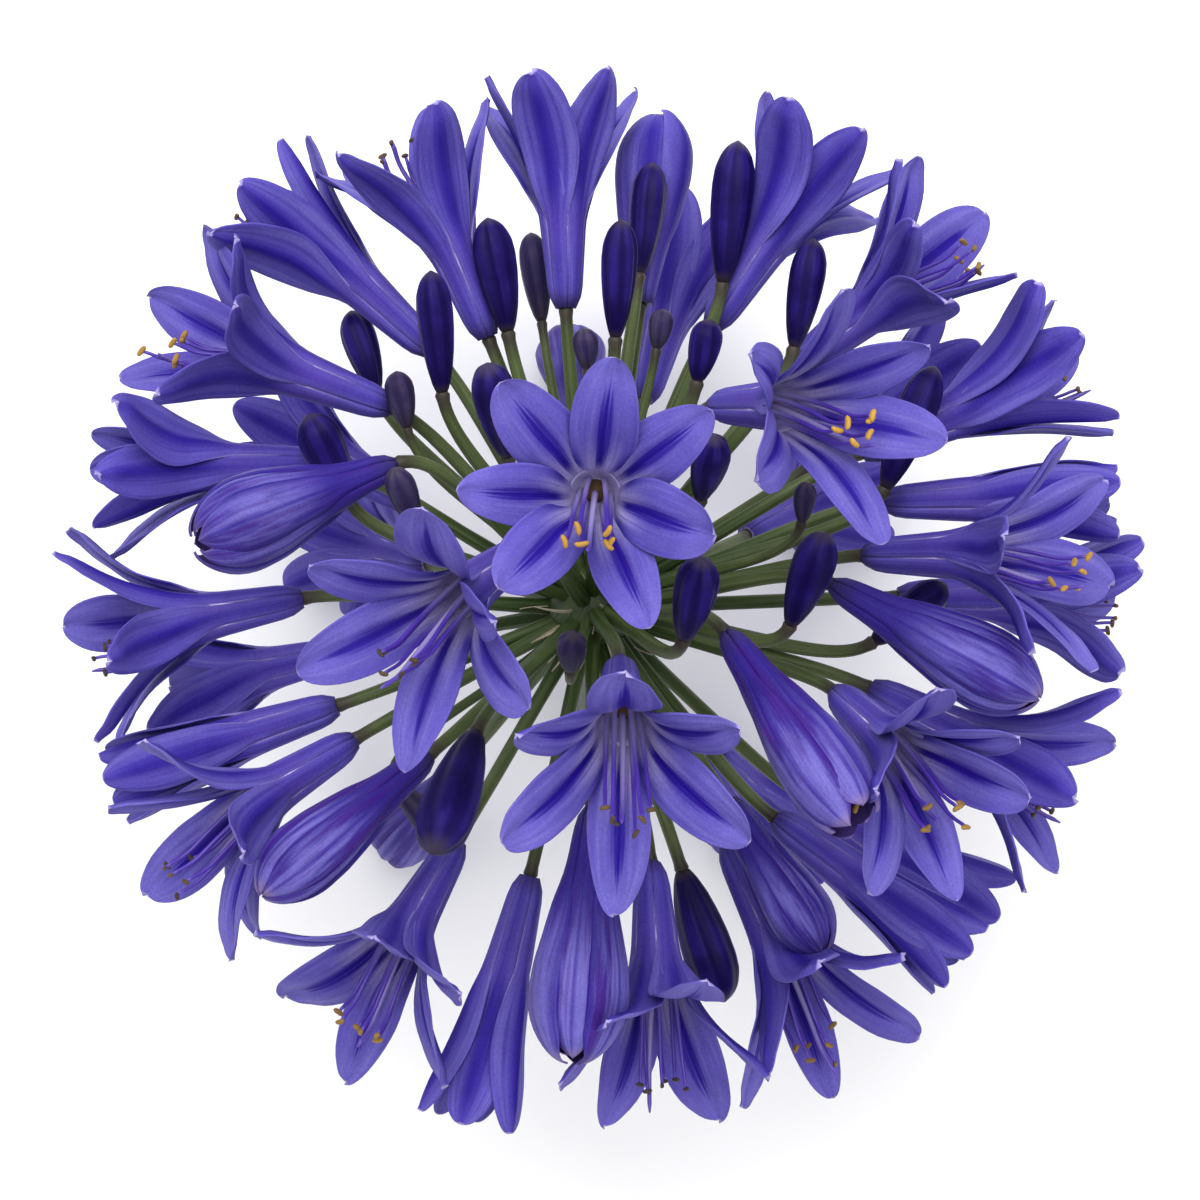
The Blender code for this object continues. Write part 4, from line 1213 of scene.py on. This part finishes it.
class HEAD_OT_stamens(bpy.types.Operator):
    """Add filaments, anthers and a style to every flower that shows them"""

    bl_idname = "head.stamens"
    bl_label = "Stamens"

    def execute(self, context):
        look = sizes()
        steps = np.linspace(0, 1, 20)
        thread = material_named("filament", filament_material)
        pollen = material_named("anther", anther_material)
        for flower in open_flowers():
            row = flower.row
            if row.pollen is None:
                continue
            threads = Shape()
            anthers = Shape()
            reach = 1.0 if row.spread > 30 else 0.9
            length = look.anther_length * (0.7 + 0.3 * row.pollen)
            for number in range(STAMENS):
                line = stamen_line(flower, number, reach, steps)
                threads.tube(line, look.filament_radius * (1 - 0.4 * steps), THREAD_SIDES, steps)
                tint = float(np.clip(row.pollen + 0.15 * flower.random.uniform(-1, 1), 0, 1)) ** 1.6
                add_anther(anthers, line[-1], unit(line[-1] - line[-2]), tint, length, flower.random)
            girth = look.filament_radius * (1.1 - 0.35 * steps)
            girth[-1] *= 0.4
            threads.tube(style_line(flower, reach, steps), girth, THREAD_SIDES, steps * 0.6)
            count = len(OVARY_GIRTH)
            ovary = flower.ahead(flower.size * np.linspace(*OVARY_ENDS, count))
            anthers.tube(ovary, OVARY_RADIUS * OVARY_GIRTH, OVARY_SIDES, np.zeros(count), tint=OVARY_TINT)
            threads.make(f"filaments_{row.name}", thread, "petal", row.name)
            anthers.make(f"anthers_{row.name}", pollen, "petal", row.name)
        for flower in [Flower(row) for row in SHUT_BLOOMS]:
            name = flower.row.name
            mouth = MOUTHS.get(name, 0.0)
            if mouth < SHOWN_ANTHERS:
                continue
            anthers = Shape()
            for turn in flower.random.uniform(0, math.tau, 4):
                place = flower.base + flower.forward * flower.size * (0.9 + 0.03 * math.sin(5 * turn))
                place = place + flower.radial(turn) * 0.55 * mouth * MM
                tint = 0.3 + 0.06 * turn
                add_anther(anthers, place, flower.forward, tint, look.anther_length * 0.9, flower.random)
            anthers.make(f"anthers_{name}", pollen, "spent_petal", name)
        return {"FINISHED"}


class HEAD_OT_closed_flowers(bpy.types.Operator):
    """Add the folded tepals of every closed or fading flower"""

    bl_idname = "head.closed_flowers"
    bl_label = "Closed Flowers"

    def execute(self, context):
        folded = material_named("folded_skin", spent_material)
        fresh = material_named("tepal_skin", petal_material)
        for flower in closed_flowers():
            name = flower.row.name
            material = fresh if name in BALLOONS else folded
            add_piece(shut_flower, flower, "folded", material, "spent_petal", name)
        return {"FINISHED"}


class HEAD_OT_buds(bpy.types.Operator):
    """Add every ripe bud and every young one"""

    bl_idname = "head.buds"
    bl_label = "Buds"

    def execute(self, context):
        ripe = material_named("bud_skin", bud_material, "bud_skin", 0.0)
        young = material_named("young_skin", bud_material, "young_skin", YOUNG_GREEN)
        for row in BUDS:
            add_piece(add_bud, Flower(row), "closed", ripe, "bud", row.name)
        for row in YOUNG_BUDS:
            add_piece(add_bud, Flower(row), "bud", young, "bud", STEM_NODE)
        return {"FINISHED"}


class HEAD_OT_stalks(bpy.types.Operator):
    """Add the stalk of every flower and bud"""

    bl_idname = "head.stalks"
    bl_label = "Flower Stalks"

    def execute(self, context):
        look = sizes()
        steps = np.append(np.linspace(0, 0.97, 23), (0.985, 1.0))
        swollen = 1 + 0.22 * (1 - ramp(steps, 0, 0.3)) - 0.1 * ramp(steps, 0.5, 0.85)
        swollen = swollen + 0.18 * ramp(steps, 0.93, 0.98) - 0.4 * ramp(steps, 0.97, 1.0)
        grown = open_flowers() + closed_flowers() + [Flower(row) for row in BUDS]
        young = [Flower(row) for row in YOUNG_BUDS]
        shape = Shape()
        for flowers, radius in ((grown, look.stalk_radius), (young, look.young_stalk_radius)):
            for flower in flowers:
                tint = flower.random.uniform(-1, 1)
                shape.tube(stalk_points(flower, steps), radius * swollen, STALK_SIDES, steps, tint)
        shape.make("flower_stalks", material_named("stalk_skin", stalk_material), "stalk", STEM_NODE)
        return {"FINISHED"}


class HEAD_OT_scape(bpy.types.Operator):
    """Add the knob under the stalks and the cut scape"""

    bl_idname = "head.scape"
    bl_label = "Knob and Scape"

    def execute(self, context):
        radius = sizes().scape_radius
        down = aim(SCAPE_CLOCK, SCAPE_LEAN)
        lowest = radius * math.sin(math.acos(-down[2]))
        length = (HUB[2] - lowest) / -down[2]
        cap = np.linspace(-1, 0.55, 9)
        knob = HUB_RADIUS * np.sqrt(np.clip(1 - cap**2, 0.004, 1))
        shaft = np.linspace(0.14, 1, 26)
        neck = radius * (1 + 0.35 * (1 - ramp(shaft, 0.1, 0.32)))
        cut = length + np.array((0, 0.05, 0.06)) * MM
        places = np.concatenate((cap * HUB_RADIUS, shaft * (length - 0.3 * MM), cut))
        radii = np.concatenate((knob, neck, radius * np.array((0.97, 0.6, 0.15))))
        along = np.concatenate((np.zeros(len(cap)), shaft, (1.0, 1.2, 1.2)))
        turn = np.arange(SCAPE_SIDES) * math.tau / SCAPE_SIDES
        ribs = np.tile(0.012 * np.cos(10 * turn), (len(places), 1))
        shape = Shape()
        line = HUB + down * places[:, None]
        shape.tube(line, radii, SCAPE_SIDES, along, spoke=np.array((1.0, 0, 0)), bumps=ribs)
        shape.make("knob_and_scape", material_named("scape", scape_material), "stalk", STEM_NODE)
        return {"FINISHED"}


class HEAD_OT_bracts(bpy.types.Operator):
    """Add the papery shreds between the roots of the stalks"""

    bl_idname = "head.bracts"
    bl_label = "Papery Shreds"

    def execute(self, context):
        count = sizes().bracts
        random = np.random.default_rng(BRACT_SEED)
        shape = Shape()
        steps = np.linspace(0, 1, len(ALONG))[:, None]
        for number in range(count):
            outward = aim(number * GOLDEN_ANGLE, 12 + 95 * (number + 0.5) / count)
            length = random.uniform(5, 11) * MM
            width = random.uniform(0.35, 0.75) * MM
            side = unit(np.cross(outward, random.normal(size=3)))
            face = np.cross(outward, side)
            curl = random.uniform(-0.35, 0.35) * length * steps**2
            middle = HUB + outward * (HUB_RADIUS * 0.9 + length * steps) + face * curl
            half = width * (1 - 0.85 * steps**1.5)
            points = middle[:, None] + side * (half * ACROSS)[..., None]
            points = points + face * (0.25 * width * ACROSS**2)[:, None]
            skin = face * 0.06 * MM
            shape.sheet(points + skin, points - skin, ACROSS, steps, random.uniform(-1, 1))
        shape.make("papery_shreds", material_named("paper", paper_material), "stalk", STEM_NODE)
        return {"FINISHED"}


def place_object(name, data, place=(0, 0, 0)):
    holder = bpy.data.objects.new(name, data)
    holder.location = place
    bpy.context.scene.collection.objects.link(holder)
    return holder


def add_lamp(name, power, place, size):
    lamp = bpy.data.lights.new(name, "AREA")
    lamp.shape = "DISK"
    lamp.size = size
    lamp.energy = power
    direction = Vector(tuple(HUB)) - Vector(place)
    place_object(name, lamp, place).rotation_euler = direction.to_track_quat("-Z", "Y").to_euler()


class HEAD_OT_stage(bpy.types.Operator):
    """Add the floor, the soft light and the camera over the head"""

    bl_idname = "head.stage"
    bl_label = "Stage"

    def execute(self, context):
        look = context.scene.head_stage
        mesh = bpy.data.meshes.new("floor")
        corners = [(x * FLOOR_HALF, y * FLOOR_HALF, 0) for x, y in ((-1, -1), (1, -1), (1, 1), (-1, 1))]
        mesh.from_pydata(corners, [], [(0, 1, 2, 3)])
        mesh.materials.append(floor_material())
        floor = place_object("floor", mesh)
        add_lamp("key", look.key, KEY_PLACE, KEY_SIZE)
        add_lamp("fill", look.fill, FILL_PLACE, FILL_SIZE)
        world = bpy.data.worlds.new("sky")
        world.use_nodes = True
        sky = world.node_tree.nodes["Background"].inputs
        sky["Color"].default_value = (1, 1, 1, 1)
        sky["Strength"].default_value = look.sky
        context.scene.world = world
        context.scene.view_settings.view_transform = "Standard"
        camera = bpy.data.cameras.new("camera")
        camera.lens = look.lens
        camera.sensor_width = SENSOR_WIDTH
        place = (HUB[0] + CAMERA_SHIFT, HUB[1] + CAMERA_SHIFT, HUB[2] + look.distance)
        context.scene.camera = place_object("camera", camera, place)
        return {"FINISHED"}


OPERATORS = (
    HEAD_OT_open_flowers,
    HEAD_OT_stamens,
    HEAD_OT_closed_flowers,
    HEAD_OT_buds,
    HEAD_OT_stalks,
    HEAD_OT_scape,
    HEAD_OT_bracts,
    HEAD_OT_stage,
)


class HEAD_PT_panel(bpy.types.Panel):
    """Sizes, colours and pieces of the flower head"""

    bl_idname = "HEAD_PT_panel"
    bl_label = "Agapanthus Flower Head"
    bl_space_type = "VIEW_3D"
    bl_region_type = "UI"
    bl_category = "Flower Head"

    def draw(self, context):
        for group in (context.scene.head_sizes, context.scene.head_colours, context.scene.head_stage):
            column = self.layout.column(align=True)
            for name in group.__annotations__:
                column.prop(group, name)
        for operator in OPERATORS:
            self.layout.operator(operator.bl_idname)


CLASSES = (HeadSizes, HeadColours, StageLook, *OPERATORS, HEAD_PT_panel)


def register():
    for cls in CLASSES:
        bpy.utils.register_class(cls)
    bpy.types.Scene.head_sizes = PointerProperty(type=HeadSizes)
    bpy.types.Scene.head_colours = PointerProperty(type=HeadColours)
    bpy.types.Scene.head_stage = PointerProperty(type=StageLook)


def unregister():
    del bpy.types.Scene.head_stage
    del bpy.types.Scene.head_colours
    del bpy.types.Scene.head_sizes
    for cls in reversed(CLASSES):
        bpy.utils.unregister_class(cls)


def main():
    register()
    for operator in OPERATORS:
        group, name = operator.bl_idname.split(".")
        getattr(getattr(bpy.ops, group), name)()


if __name__ == "__main__":
    main()
